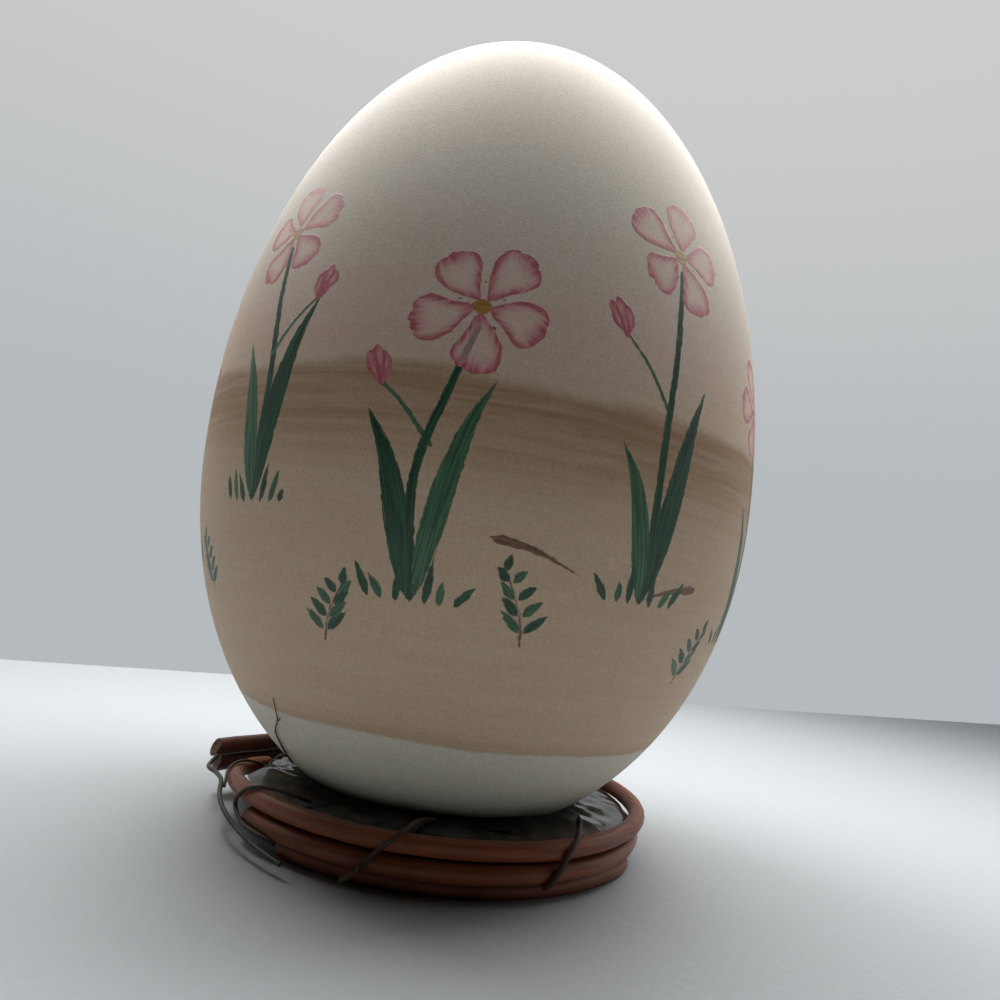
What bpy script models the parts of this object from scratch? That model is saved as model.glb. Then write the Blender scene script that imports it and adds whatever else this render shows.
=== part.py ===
"""A painted ostrich egg that stands on its blunt end in a small ring of wound vine canes.

The egg is one closed body of revolution. The ring is nine canes laid side by side and on each other,
held by thin ties, and a thin pool of glue lies between the canes and the egg. Lengths are in metres,
the floor is z = 0, and the egg's axis is the z axis. Angles go anticlockwise from +X, seen from above,
and the front of the egg faces -Y.
"""

import math

import bmesh
import bpy
from mathutils import Vector

MM = 0.001

# The egg: its girth is the widest circle, and each end has its own length and fullness.
EGG_BREADTH = 110.0 * MM
GIRTH_HEIGHT = 72.4 * MM
NARROW_END_LENGTH = 90.2 * MM
BLUNT_END_LENGTH = 72.0 * MM
NARROW_END_FULLNESS = 2.03
BLUNT_END_FULLNESS = 2.2
EGG_STEPS_UP = 26
EGG_STEPS_ROUND = 48

# The ring: canes of one thickness, laid in three layers, with a gap wherever two pass each other.
CANE_DIAMETER = 3.06 * MM
GAP = 0.34 * MM
PITCH = CANE_DIAMETER + GAP
LAYER_HEIGHT = 2.82 * MM
OUTER_ROW_RADIUS = 39.1 * MM
BASE_HEIGHT = CANE_DIAMETER / 2 * math.cos(math.pi / 8)
MIDDLE_HEIGHT = BASE_HEIGHT + LAYER_HEIGHT
TOP_HEIGHT = MIDDLE_HEIGHT + PITCH
CANE_SIDES = 8
DEGREES_PER_STEP = 8.5

# Each of the two cut canes leaves the ring in a straight line that touches its own circle at this angle.
UPPER_EXIT_RADIUS = 36.6 * MM
LOWER_EXIT_RADIUS = 37.3 * MM
EXIT_ANGLE = 147.2

# The ties: thin dry tendrils wound over the canes.
TIE_DIAMETER = 1.2 * MM
TENDRIL_DIAMETER = 0.95 * MM
ROOTLET_DIAMETER = 0.3 * MM
TIE_SIDES = 6
OVER_RADIUS = OUTER_ROW_RADIUS + (CANE_DIAMETER + TIE_DIAMETER) / 2 + GAP
OVER_HEIGHT = TOP_HEIGHT + (CANE_DIAMETER + TIE_DIAMETER) / 2 + GAP

# The glue pool between the egg and the canes.
GLUE_FRONT_RADIUS = 36.8 * MM
GLUE_BACK_RADIUS = 33.6 * MM
GLUE_UNDERSIDE = 8.4 * MM
GLUE_EDGE_HEIGHT = 9.5 * MM
GLUE_POOL_HEIGHT = 8.85 * MM
GLUE_STEPS_ROUND = 44

# Colour, roughness and metallic value of each finish.
SHELL_FINISH = ((0.70, 0.60, 0.47), 0.62, 0.0)
CANE_FINISH = ((0.26, 0.09, 0.045), 0.48, 0.0)
DARK_CANE_FINISH = ((0.12, 0.045, 0.03), 0.52, 0.0)
TIE_FINISH = ((0.07, 0.045, 0.03), 0.55, 0.0)
TENDRIL_FINISH = ((0.06, 0.065, 0.05), 0.50, 0.0)
GLUE_FINISH = ((0.03, 0.028, 0.027), 0.12, 0.0)


def clear_scene():
    """Removes whatever the scene holds."""
    for obj in list(bpy.data.objects):
        bpy.data.objects.remove(obj, do_unlink=True)


def material(name, finish):
    """A plain material of one colour, roughness and metallic value."""
    found = bpy.data.materials.get(name)
    if found:
        return found
    colour, roughness, metallic = finish
    made = bpy.data.materials.new(name)
    made.use_nodes = True
    shader = made.node_tree.nodes["Principled BSDF"]
    shader.inputs["Base Color"].default_value = (*colour, 1.0)
    shader.inputs["Roughness"].default_value = roughness
    shader.inputs["Metallic"].default_value = metallic
    made.diffuse_color = (*colour, 1.0)
    return made


def finish_object(name, bm, finish_name, finish, smooth_below=40):
    """Turns a bmesh into a named, shaded object at the origin."""
    bmesh.ops.recalc_face_normals(bm, faces=bm.faces)
    mesh = bpy.data.meshes.new(name)
    bm.to_mesh(mesh)
    bm.free()
    mesh.shade_smooth()
    mesh.set_sharp_from_angle(angle=math.radians(smooth_below))
    mesh.materials.append(material(finish_name, finish))
    obj = bpy.data.objects.new(name, mesh)
    bpy.context.scene.collection.objects.link(obj)
    return obj


def around(angle, radius, height):
    """The point at an angle in degrees, a distance from the axis and a height."""
    turn = math.radians(angle)
    return Vector((radius * math.cos(turn), radius * math.sin(turn), height))


def egg_radius(height):
    """How far the shell is from its axis at a height above the floor."""
    above = height - GIRTH_HEIGHT
    if above >= 0:
        share, fullness = above / NARROW_END_LENGTH, NARROW_END_FULLNESS
    else:
        share, fullness = -above / BLUNT_END_LENGTH, BLUNT_END_FULLNESS
    return EGG_BREADTH / 2 * math.sqrt(max(0.0, 1.0 - min(share, 1.0) ** fullness))


def body_of_revolution(name, outline, steps, finish_name, finish):
    """Spins an outline of (radius, height) points about the z axis into a closed body."""
    bm = bmesh.new()
    points = [bm.verts.new((radius, 0.0, height)) for radius, height in outline]
    for first, second in zip(points, points[1:]):
        bm.edges.new((first, second))
    bmesh.ops.spin(
        bm,
        geom=bm.verts[:] + bm.edges[:],
        cent=(0, 0, 0),
        axis=(0, 0, 1),
        angle=math.tau,
        steps=steps,
        use_merge=True,
    )
    bmesh.ops.remove_doubles(bm, verts=bm.verts, dist=0.001 * MM)
    return finish_object(name, bm, finish_name, finish)


def bridge(bm, first, second):
    """Joins two loops of the same number of vertices with a band of faces."""
    for side, corner in enumerate(first):
        after = (side + 1) % len(first)
        bm.faces.new((corner, first[after], second[after], second[side]))


def smooth_path(stations, spacing):
    """Evenly spaced points along a smooth curve through (angle, radius, height) stations.

    Each of the three values is a cubic between neighbouring stations, with its slope at a station taken
    from the stations on both sides of it.
    """
    knots = [0.0]
    for first, second in zip(stations, stations[1:]):
        turn = math.radians(second[0] - first[0]) * (first[1] + second[1]) / 2
        knots.append(knots[-1] + math.hypot(turn, second[1] - first[1], second[2] - first[2]))
    last = len(stations) - 1

    def slope(index, axis):
        before, after = max(index - 1, 0), min(index + 1, last)
        return (stations[after][axis] - stations[before][axis]) / (knots[after] - knots[before])

    points = []
    for index in range(last):
        length = knots[index + 1] - knots[index]
        count = max(1, round(length / spacing))
        for step in range(count):
            share = step / count
            values = []
            for axis in range(3):
                begin, end = stations[index][axis], stations[index + 1][axis]
                leave, arrive = slope(index, axis) * length, slope(index + 1, axis) * length
                cube = leave + arrive - 2 * (end - begin)
                square = 3 * (end - begin) - 2 * leave - arrive
                values.append(((cube * share + square) * share + leave) * share + begin)
            points.append(around(*values))
    points.append(around(*stations[last]))
    return points


def swept(name, path, diameter, sides, finish_name, finish, taper=1.0, cut_slant=0.0, level=False):
    """A round stick along a path, as rings bridged one to the next and closed by its two cut ends.

    taper is the far end's thickness as a share of the near end's, and cut_slant leans the far cut.
    level keeps the rings upright, so that the lowest side of a stick that lies flat is one flat face.
    """
    bm = bmesh.new()
    rings = []
    last = len(path) - 1
    for index, point in enumerate(path):
        along = path[min(index + 1, last)] - path[max(index - 1, 0)]
        if level:
            along.z = 0
        along.normalize()
        across = along.cross(Vector((0, 0, 1))).normalized()
        upward = across.cross(along)
        radius = diameter / 2 * (1 + (taper - 1) * index / last)
        lean = cut_slant if index == last else 0.0
        ring = []
        for side in range(sides):
            turn = math.tau * (side + 0.5) / sides
            offset = (across * math.cos(turn) + upward * math.sin(turn)) * radius
            ring.append(bm.verts.new(point + offset + along * math.sin(turn) * lean))
        rings.append(ring)
    for first, second in zip(rings, rings[1:]):
        bridge(bm, first, second)
    bm.faces.new(reversed(rings[0]))
    bm.faces.new(rings[-1])
    return finish_object(name, bm, finish_name, finish, smooth_below=50)


def cane(name, stations, finish_name="cane", finish=CANE_FINISH, **options):
    """One cane of the ring, from stations of angle in degrees, and radius and height in metres."""
    spacing = math.radians(DEGREES_PER_STEP) * OUTER_ROW_RADIUS
    path = smooth_path(stations, spacing)
    return swept(name, path, CANE_DIAMETER, CANE_SIDES, finish_name, finish, **options)


def dark_cane(name, stations, **options):
    """A cane of the darker, inner kind."""
    return cane(name, stations, "dark_cane", DARK_CANE_FINISH, **options)


def make_egg():
    """The shell, with its steps closer together at both ends."""
    outline = []
    for step in range(EGG_STEPS_UP + 1):
        turn = math.pi * step / EGG_STEPS_UP
        reach = NARROW_END_LENGTH if turn < math.pi / 2 else BLUNT_END_LENGTH
        height = GIRTH_HEIGHT + reach * math.cos(turn)
        pole = step in (0, EGG_STEPS_UP)
        outline.append((0.0 if pole else egg_radius(height), height))
    body_of_revolution("egg", outline, EGG_STEPS_ROUND, "shell", SHELL_FINISH)


def glue_section(angle):
    """The glue's cross-section at an angle, as (radius, height) corners from its lower inner one."""
    from_back = abs((angle - 140 + 180) % 360 - 180)
    share = min(1.0, max(0.0, (from_back - 50) / 15))
    outer = GLUE_BACK_RADIUS + (GLUE_FRONT_RADIUS - GLUE_BACK_RADIUS) * share
    shell_gap = 1.9 * GAP
    edge = egg_radius(GLUE_EDGE_HEIGHT) + shell_gap
    return (
        (egg_radius(GLUE_UNDERSIDE) + shell_gap, GLUE_UNDERSIDE),
        (outer, GLUE_UNDERSIDE),
        (outer - 0.3 * MM, GLUE_POOL_HEIGHT - 0.1 * MM),
        (edge + 2.7 * MM, GLUE_POOL_HEIGHT),
        (edge + 0.7 * MM, GLUE_POOL_HEIGHT + 0.25 * MM),
        (edge, GLUE_EDGE_HEIGHT),
    )


def make_glue():
    """A thin pool over the inner canes, which climbs a little where it meets the shell."""
    bm = bmesh.new()
    sections = []
    for step in range(GLUE_STEPS_ROUND):
        angle = 360 * step / GLUE_STEPS_ROUND
        corners = [around(angle, radius, height) for radius, height in glue_section(angle)]
        sections.append([bm.verts.new(corner) for corner in corners])
    for index, section in enumerate(sections):
        bridge(bm, section, sections[(index + 1) % GLUE_STEPS_ROUND])
    finish_object("glue_pool", bm, "glue", GLUE_FINISH, smooth_below=30)


def make_outer_canes():
    """The top and middle canes of the outer row, and the two short ones that carry them."""
    row, top, middle, base = OUTER_ROW_RADIUS, TOP_HEIGHT, MIDDLE_HEIGHT, BASE_HEIGHT
    cane(
        "cane_top",
        [
            (173, row - 3.1 * MM, top - 1.7 * MM),
            (178, row - 1.3 * MM, top - 1.6 * MM),
            (187, row + 0.1 * MM, top - 1.4 * MM),
            (205, row + 0.1 * MM, top - 0.5 * MM),
            (222, row, top),
            (270, row, top),
            (330, row + 0.3 * MM, top + 0.4 * MM),
            (360, row + 1.0 * MM, top + 0.7 * MM),
            (388, row + 1.0 * MM, top + 0.9 * MM),
            (430, row + 0.4 * MM, top + 0.2 * MM),
            (485, row, top),
        ],
    )
    cane(
        "cane_middle",
        [
            (220, row + 0.1 * MM, middle),
            (285, row + 0.1 * MM, middle),
            (330, row - 0.1 * MM, middle + 0.4 * MM),
            (365, row - 0.2 * MM, middle + 0.4 * MM),
            (400, row, middle),
            (463, row, middle),
        ],
    )
    dark_cane(
        "cane_under_front",
        [
            (232, row - 2.0 * MM, base),
            (270, row - 1.9 * MM, base),
            (315, row - 1.7 * MM, base),
            (338.5, row - 0.9 * MM, base),
        ],
        level=True,
        cut_slant=0.4 * MM,
    )
    dark_cane(
        "cane_under_back",
        [(-8, row - 1.9 * MM, base), (40, row - 1.9 * MM, base), (88, row - 2.1 * MM, base)],
        level=True,
    )


def cut_cane(name, row, height, rise, exit_radius, end_angle):
    """A cane of the second row that rises at the back and leaves the ring, to end in a slanted cut."""
    last = height + rise
    straight = [
        (angle, exit_radius / math.cos(math.radians(angle - EXIT_ANGLE)), last)
        for angle in (EXIT_ANGLE, 158, 168, end_angle)
    ]
    outer = exit_radius - 0.7 * MM
    curved = [
        (-136, row, height),
        (0, row, height),
        (84, row, height + 0.1 * rise),
        (108, (row + outer) / 2, height + 0.36 * rise),
        (132, outer, height + 0.95 * rise),
    ]
    dark_cane(name, curved + straight, cut_slant=0.7 * MM)


def make_second_row():
    """The two canes of the second row, one above the other, with their cut ends at the back left."""
    upper_row = OUTER_ROW_RADIUS - 0.94 * PITCH
    cut_cane("cane_cut_upper", upper_row, 6.4 * MM, 2.95 * MM, UPPER_EXIT_RADIUS, 182.8)
    cut_cane("cane_cut_lower", upper_row - 1.7 * MM, 3.1 * MM, 2.85 * MM, LOWER_EXIT_RADIUS, 180.6)


def make_inner_canes():
    """The inner rows that the shell sits in, and the cane that carries them."""
    inner_row = OUTER_ROW_RADIUS - 2 * PITCH
    dark_cane("cane_inner", [(-186, inner_row, 6.0 * MM), (0, inner_row, 6.0 * MM), (160, inner_row, 6.0 * MM)])
    seat_height = 5.6 * MM
    seat_row = egg_radius(seat_height) + 5.4 * MM
    dark_cane("cane_seat", [(-128, seat_row, seat_height), (60, seat_row, seat_height), (222, seat_row, seat_height)])
    base_row = OUTER_ROW_RADIUS - 2.5 * PITCH
    dark_cane(
        "cane_base",
        [(-100, base_row, BASE_HEIGHT), (80, base_row, BASE_HEIGHT), (250, base_row, BASE_HEIGHT)],
        level=True,
    )


def tie(name, stations, diameter=TIE_DIAMETER, finish_name="tie", finish=TIE_FINISH, **options):
    """One thin tendril, from stations of angle in degrees, and radius and height in metres."""
    path = smooth_path(stations, 1.3 * diameter + 0.4 * MM)
    return swept(name, path, diameter, TIE_SIDES, finish_name, finish, **options)


def wound_tie(name, angle, lean, clearance=0.0):
    """A tie that comes over the outer row's top at angle + lean and tucks in under its middle cane."""
    course = (
        (1.0, -3.9, -0.1),
        (0.6, -2.1, 0.0),
        (0.25, -0.5, -1.1),
        (0.0, 0.0, -3.3),
        (-0.2, 0.0, -5.4),
        (-0.35, -0.35, -7.0),
        (-0.5, -1.4, -8.1),
    )
    over = OVER_RADIUS + clearance
    stations = [
        (angle + lean * share, over + outward * MM, OVER_HEIGHT + clearance + upward * MM)
        for share, outward, upward in course
    ]
    tie(name, stations)


def make_ties():
    """The ties over the outer row, of which the middle one has a free end."""
    wound_tie("tie_left", -140.3, -1.5)
    wound_tie("tie_right", -57, 11, clearance=0.25 * MM)
    wound_tie("tie_back", 62, 6, clearance=0.55 * MM)
    over, top = OVER_RADIUS, OVER_HEIGHT
    tie(
        "tie_middle",
        [
            (-90, over - 4.2 * MM, top + 0.2 * MM),
            (-93, over - 2.2 * MM, top),
            (-95.5, over - 0.5 * MM, top - 1.0 * MM),
            (-98, over, top - 3.2 * MM),
            (-100.5, over + 0.3 * MM, top - 5.6 * MM),
            (-104, over + 2.2 * MM, top - 7.8 * MM),
        ],
        taper=0.55,
    )


def make_tendril():
    """A stiff tendril that clips over the ring's left side and runs round its foot to a free end."""
    tie(
        "tendril_left",
        [
            (-169.8, 44.6 * MM, 7.0 * MM),
            (-164.6, 42.8 * MM, 7.0 * MM),
            (-158.3, 41.9 * MM, 6.9 * MM),
            (-150, 42.8 * MM, 6.0 * MM),
            (-143.5, 43.3 * MM, 5.1 * MM),
            (-135, 43.3 * MM, 3.7 * MM),
            (-128, 43.7 * MM, 3.0 * MM),
            (-118, 44.5 * MM, 2.2 * MM),
        ],
        TENDRIL_DIAMETER,
        "tendril",
        TENDRIL_FINISH,
    )


def make_rootlet():
    """A hair-thin rootlet that climbs the shell's lower left with two small bends."""
    clear = 1.5 * (ROOTLET_DIAMETER / 2 + GAP)
    course = (
        (-144.5, 12.2),
        (-142.6, 13.5),
        (-139.2, 16.1),
        (-136.6, 18.9),
        (-131.8, 21.5),
        (-130.3, 23.6),
        (-129.4, 25.5),
    )
    stations = [(angle, egg_radius(height * MM) + clear, height * MM) for angle, height in course]
    path = smooth_path(stations, 1.6 * MM)
    swept("rootlet", path, ROOTLET_DIAMETER, 5, "tendril", TENDRIL_FINISH, taper=0.6)


def main():
    """Builds every piece in turn."""
    clear_scene()
    make_egg()
    make_glue()
    make_outer_canes()
    make_second_row()
    make_inner_canes()
    make_ties()
    make_tendril()
    make_rootlet()


if __name__ == "__main__":
    main()
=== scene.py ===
"""The look of a painted ostrich egg that stands in a small ring of wound vine canes.

Sizes in the classes are in millimetres, and become metres where a mesh is made. Angles are in degrees
anticlockwise from +X, seen from above, heights are above the floor, and the egg's front faces -Y.
"""

from __future__ import annotations

import logging
import math
from collections.abc import Callable, Sequence
from dataclasses import dataclass, field
from enum import Enum
from typing import Any

import bmesh
import bpy
import numpy as np
from mathutils import Matrix, Vector

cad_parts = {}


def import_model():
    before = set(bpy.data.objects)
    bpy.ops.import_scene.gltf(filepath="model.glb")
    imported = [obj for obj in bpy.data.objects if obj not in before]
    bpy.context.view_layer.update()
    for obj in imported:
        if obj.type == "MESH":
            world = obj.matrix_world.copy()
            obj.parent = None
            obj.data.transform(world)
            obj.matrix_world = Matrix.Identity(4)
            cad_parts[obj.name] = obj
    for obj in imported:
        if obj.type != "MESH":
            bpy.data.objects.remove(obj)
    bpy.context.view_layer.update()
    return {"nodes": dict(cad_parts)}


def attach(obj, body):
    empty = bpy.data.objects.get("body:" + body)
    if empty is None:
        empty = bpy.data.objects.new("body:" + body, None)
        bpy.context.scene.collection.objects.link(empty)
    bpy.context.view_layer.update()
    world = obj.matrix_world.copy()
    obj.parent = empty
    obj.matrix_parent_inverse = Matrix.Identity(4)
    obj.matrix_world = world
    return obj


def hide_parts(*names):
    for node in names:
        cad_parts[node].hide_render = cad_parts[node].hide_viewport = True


frame: dict[str, Any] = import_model()

MM = 0.001
BODY = "root"
BARK_PLACE = "bark_place"
log = logging.getLogger("egg")

Station = tuple[float, float, float]
Colour = tuple[float, float, float]
Socket = bpy.types.NodeSocket


def paint(red: int, green: int, blue: int) -> Colour:
    """Turns a screen colour into the linear values that a shader takes.

    Args:
        red: Red from 0 to 255.
        green: Green from 0 to 255.
        blue: Blue from 0 to 255.

    Returns:
        The colour as three linear values.
    """
    shares = np.array((red, green, blue)) / 255
    linear = np.where(shares <= 0.04045, shares / 12.92, ((shares + 0.055) / 1.055) ** 2.4)
    return tuple(float(value) for value in linear)


# Node wiring


class Wiring:
    """Adds nodes to one tree and joins them."""

    def __init__(self, tree: bpy.types.NodeTree) -> None:
        """Keeps the tree that the nodes go into."""
        self.tree = tree

    def add(self, kind: str, inputs: dict[str | int, Any] | None = None, **settings: Any) -> bpy.types.Node:
        """Adds one node.

        Args:
            kind: The node's type name.
            inputs: A value or a socket for each input, by name or index.
            **settings: The node's own properties.

        Returns:
            The new node.
        """
        node = self.tree.nodes.new(kind)
        for name, value in settings.items():
            setattr(node, name, value)
        for name, value in (inputs or {}).items():
            self.put(node.inputs[name], value)
        return node

    def put(self, socket: Socket, value: Any) -> None:
        """Joins a socket to an input, or sets the input's value.

        Args:
            socket: The input.
            value: A socket, a number, a vector or a colour.
        """
        if isinstance(value, bpy.types.NodeSocket):
            self.tree.links.new(value, socket)
        elif socket.type == "RGBA" and len(value) == 3:
            socket.default_value = (*value, 1.0)
        else:
            socket.default_value = value

    def number(self, operation: str, *values: Any, clamp: bool = False) -> Socket:
        """Adds a Math node.

        Args:
            operation: The sum to do.
            *values: Its inputs.
            clamp: Whether the result is held between 0 and 1.

        Returns:
            The result.
        """
        return self.add("ShaderNodeMath", dict(enumerate(values)), operation=operation, use_clamp=clamp).outputs[0]

    def vector(self, operation: str, *values: Any) -> Socket:
        """Adds a Vector Math node.

        Args:
            operation: The sum to do.
            *values: Its inputs; a plain number goes to the Scale input.

        Returns:
            The result, a number for DOT_PRODUCT and LENGTH and a vector otherwise.
        """
        node = self.add("ShaderNodeVectorMath", operation=operation)
        for index, value in enumerate(values):
            self.put(node.inputs["Scale" if operation == "SCALE" and index == 1 else index], value)
        return node.outputs["Value" if operation in ("DOT_PRODUCT", "LENGTH") else "Vector"]

    def join(self, x: Any, y: Any, z: Any) -> Socket:
        """Returns a vector of three values."""
        return self.add("ShaderNodeCombineXYZ", {0: x, 1: y, 2: z}).outputs[0]

    def split(self, vector: Socket) -> tuple[Socket, Socket, Socket]:
        """Returns the three values of a vector."""
        return tuple(self.add("ShaderNodeSeparateXYZ", {0: vector}).outputs)

    def noise(self, place: Any, scale: float = 1.0, detail: float = 2.0, roughness: float = 0.5) -> Socket:
        """Adds a noise texture.

        Args:
            place: Where it is read.
            scale: How fine it is.
            detail: How many finer layers it has.
            roughness: How strong those layers are.

        Returns:
            Its value, about 0.5.
        """
        values = {"Vector": place, "Scale": scale, "Detail": detail, "Roughness": roughness}
        return self.add("ShaderNodeTexNoise", values).outputs[0]

    def ease(self, value: Any, start: Any, end: Any, low: Any = 0.0, high: Any = 1.0) -> Socket:
        """Goes smoothly from one value to another.

        Args:
            value: What is followed.
            start: Where the change starts.
            end: Where it ends.
            low: The result before the start.
            high: The result after the end.

        Returns:
            The eased value.
        """
        inputs = {0: value, 1: start, 2: end, 3: low, 4: high}
        return self.add("ShaderNodeMapRange", inputs, interpolation_type="SMOOTHSTEP").outputs[0]

    def blend(self, share: Any, under: Any, over: Any, way: str = "MIX") -> Socket:
        """Lays one colour over another.

        Args:
            share: How much the upper one covers.
            under: The lower colour.
            over: The upper colour.
            way: The mixing mode.

        Returns:
            The mixed colour.
        """
        inputs = {0: share, 6: under, 7: over}
        return self.add("ShaderNodeMix", inputs, data_type="RGBA", blend_type=way).outputs[2]

    def palette(self, value: Any, colours: Sequence[Colour]) -> Socket:
        """Picks the colour whose number is the whole part of a value.

        Args:
            value: The number.
            colours: The colours from number 0 on.

        Returns:
            The picked colour.
        """
        share = self.number("DIVIDE", self.number("ADD", self.number("FLOOR", value), 0.5), float(len(colours)))
        node = self.add("ShaderNodeValToRGB", {0: share})
        ramp = node.color_ramp
        ramp.interpolation = "CONSTANT"
        for _ in colours[2:]:
            ramp.elements.new(0.5)
        for index, colour in enumerate(colours):
            ramp.elements[index].position = index / len(colours)
            ramp.elements[index].color = (*colour, 1.0)
        return node.outputs[0]


def new_group(name: str, inputs: dict[str, Any], outputs: Sequence[str]) -> tuple[Wiring, dict[str, Socket], Any]:
    """Starts a shader node group.

    Args:
        name: The group's name.
        inputs: Each input's name with its starting value; its length gives the kind of socket.
        outputs: The outputs' names; one named Colour is a colour, and the others are values.

    Returns:
        The wiring of the group, its inputs inside it, and its output node.
    """
    tree = bpy.data.node_groups.new(name, "ShaderNodeTree")
    for label, start in inputs.items():
        colour = "colour" in label.lower()
        kind = "Color" if colour else "Vector" if isinstance(start, tuple) else "Float"
        socket = tree.interface.new_socket(label, in_out="INPUT", socket_type=f"NodeSocket{kind}")
        socket.default_value = (*start, 1.0) if colour else start
    for label in outputs:
        kind = "Color" if "colour" in label.lower() else "Float"
        tree.interface.new_socket(label, in_out="OUTPUT", socket_type=f"NodeSocket{kind}")
    wires = Wiring(tree)
    entry = wires.add("NodeGroupInput")
    return wires, {label: entry.outputs[label] for label in inputs}, wires.add("NodeGroupOutput")


def shared(name: str, build: Callable[[], bpy.types.NodeTree]) -> bpy.types.NodeTree:
    """Returns the node group of that name, built the first time that it is asked for."""
    return bpy.data.node_groups.get(name) or build()


def start_material(name: str) -> tuple[bpy.types.Material, Wiring, bpy.types.Node]:
    """Starts a material.

    Args:
        name: The material's name.

    Returns:
        The material, its wiring, and its Principled BSDF.
    """
    material = bpy.data.materials.new(name)
    material.use_nodes = True
    return material, Wiring(material.node_tree), material.node_tree.nodes["Principled BSDF"]


# Shared effects


def bark_grain() -> bpy.types.NodeTree:
    """The grain of bark along a cane, in light and dark streaks with fine lines between them."""
    wires, given, out = new_group(
        "bark grain",
        {
            "Place": (0.0, 0.0, 0.0),
            "Colour": (0.3, 0.1, 0.05),
            "Dark Colour": (0.1, 0.03, 0.02),
            "Worn Colour": (0.4, 0.25, 0.17),
            "Streaks": 0.6,
            "Wear": 0.3,
        },
        ("Colour", "Height", "Roughness"),
    )
    across = wires.vector("MULTIPLY", given["Place"], (1.0, 1.0, 0.05))
    streaks = wires.noise(across, 0.9, 4.0, 0.6)
    lines = wires.noise(wires.vector("MULTIPLY", given["Place"], (1.0, 1.0, 0.03)), 5.0, 3.0, 0.65)
    patches = wires.noise(given["Place"], 0.16, 3.0, 0.55)
    specks = wires.noise(given["Place"], 2.6, 2.0, 0.6)
    streaked = wires.blend(
        wires.number("MULTIPLY", wires.ease(streaks, 0.42, 0.68), given["Streaks"]), given["Colour"], given["Dark Colour"]
    )
    patched = wires.blend(wires.ease(patches, 0.5, 0.75, 0.0, 0.5), streaked, given["Dark Colour"])
    worn = wires.ease(wires.number("ADD", wires.number("MULTIPLY", patches, 0.6), wires.number("MULTIPLY", lines, 0.6)), 0.36, 0.5)
    unworn = wires.number("SUBTRACT", 1.0, worn)
    rubbed = wires.blend(wires.number("MULTIPLY", unworn, given["Wear"]), patched, given["Worn Colour"])
    lined = wires.blend(wires.ease(lines, 0.45, 0.3, 0.0, 0.45), rubbed, given["Dark Colour"])
    spotted = wires.blend(wires.ease(specks, 0.70, 0.76, 0.0, 0.7), lined, given["Dark Colour"])
    wires.put(out.inputs["Colour"], spotted)
    relief = wires.number("ADD", wires.number("MULTIPLY", streaks, 0.5), wires.number("MULTIPLY", lines, 0.5))
    wires.put(out.inputs["Height"], relief)
    wires.put(out.inputs["Roughness"], wires.ease(lines, 0.3, 0.7, 0.36, 0.6))
    return wires.tree


def level_wash() -> bpy.types.NodeTree:
    """A thin wash of paint in level brush strokes, between a lower and an upper edge."""
    wires, given, out = new_group(
        "level wash",
        {
            "Under Colour": (0.7, 0.6, 0.5),
            "Wash Colour": (0.6, 0.45, 0.3),
            "Place": (0.0, 0.0, 0.0),
            "Low": 20.0,
            "Low Fade": 1.0,
            "High": 70.0,
            "High Fade": 20.0,
            "Strength": 0.7,
            "Streaks": 0.5,
            "Sway": 2.0,
        },
        ("Colour", "Mask"),
    )
    _, _, height = wires.split(given["Place"])
    sway = wires.number("SUBTRACT", wires.noise(wires.vector("MULTIPLY", given["Place"], (0.022, 0.022, 0.006)), 1.0, 3.0), 0.5)
    ragged = wires.number("SUBTRACT", wires.noise(wires.vector("MULTIPLY", given["Place"], (0.25, 0.25, 1.2)), 1.0, 2.0), 0.5)
    level = wires.number("ADD", height, wires.number("MULTIPLY", sway, given["Sway"]))
    level = wires.number("ADD", level, wires.number("MULTIPLY", ragged, 0.7))
    above = wires.ease(level, given["Low"], wires.number("ADD", given["Low"], given["Low Fade"]))
    below = wires.ease(level, wires.number("SUBTRACT", given["High"], given["High Fade"]), given["High"], 1.0, 0.0)
    stroke = wires.noise(wires.vector("MULTIPLY", given["Place"], (0.03, 0.03, 0.75)), 1.0, 4.0, 0.6)
    load = wires.blend(given["Streaks"], (1.0, 1.0, 1.0), wires.ease(stroke, 0.34, 0.62))
    mask = wires.number("MULTIPLY", wires.number("MULTIPLY", above, below), wires.number("MULTIPLY", load, given["Strength"]))
    wires.put(out.inputs["Colour"], wires.blend(mask, given["Under Colour"], given["Wash Colour"]))
    wires.put(out.inputs["Mask"], mask)
    return wires.tree


class Pigment(Enum):
    """The painter's colours, each as its plain tone and the deeper tone of a loaded brush."""

    DEEP_GREEN = (paint(52, 98, 68), paint(24, 58, 42))
    LEAF_GREEN = (paint(86, 128, 92), paint(44, 88, 62))
    TWIG_BROWN = (paint(150, 108, 80), paint(104, 70, 50))
    ROSE = (paint(214, 126, 132), paint(176, 78, 92))
    OCHRE = (paint(206, 160, 84), paint(150, 104, 48))
    SPECK = (paint(84, 66, 52), paint(52, 40, 32))

    @property
    def number(self) -> int:
        """Returns the place of the pigment in the palette."""
        return list(Pigment).index(self)


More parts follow.
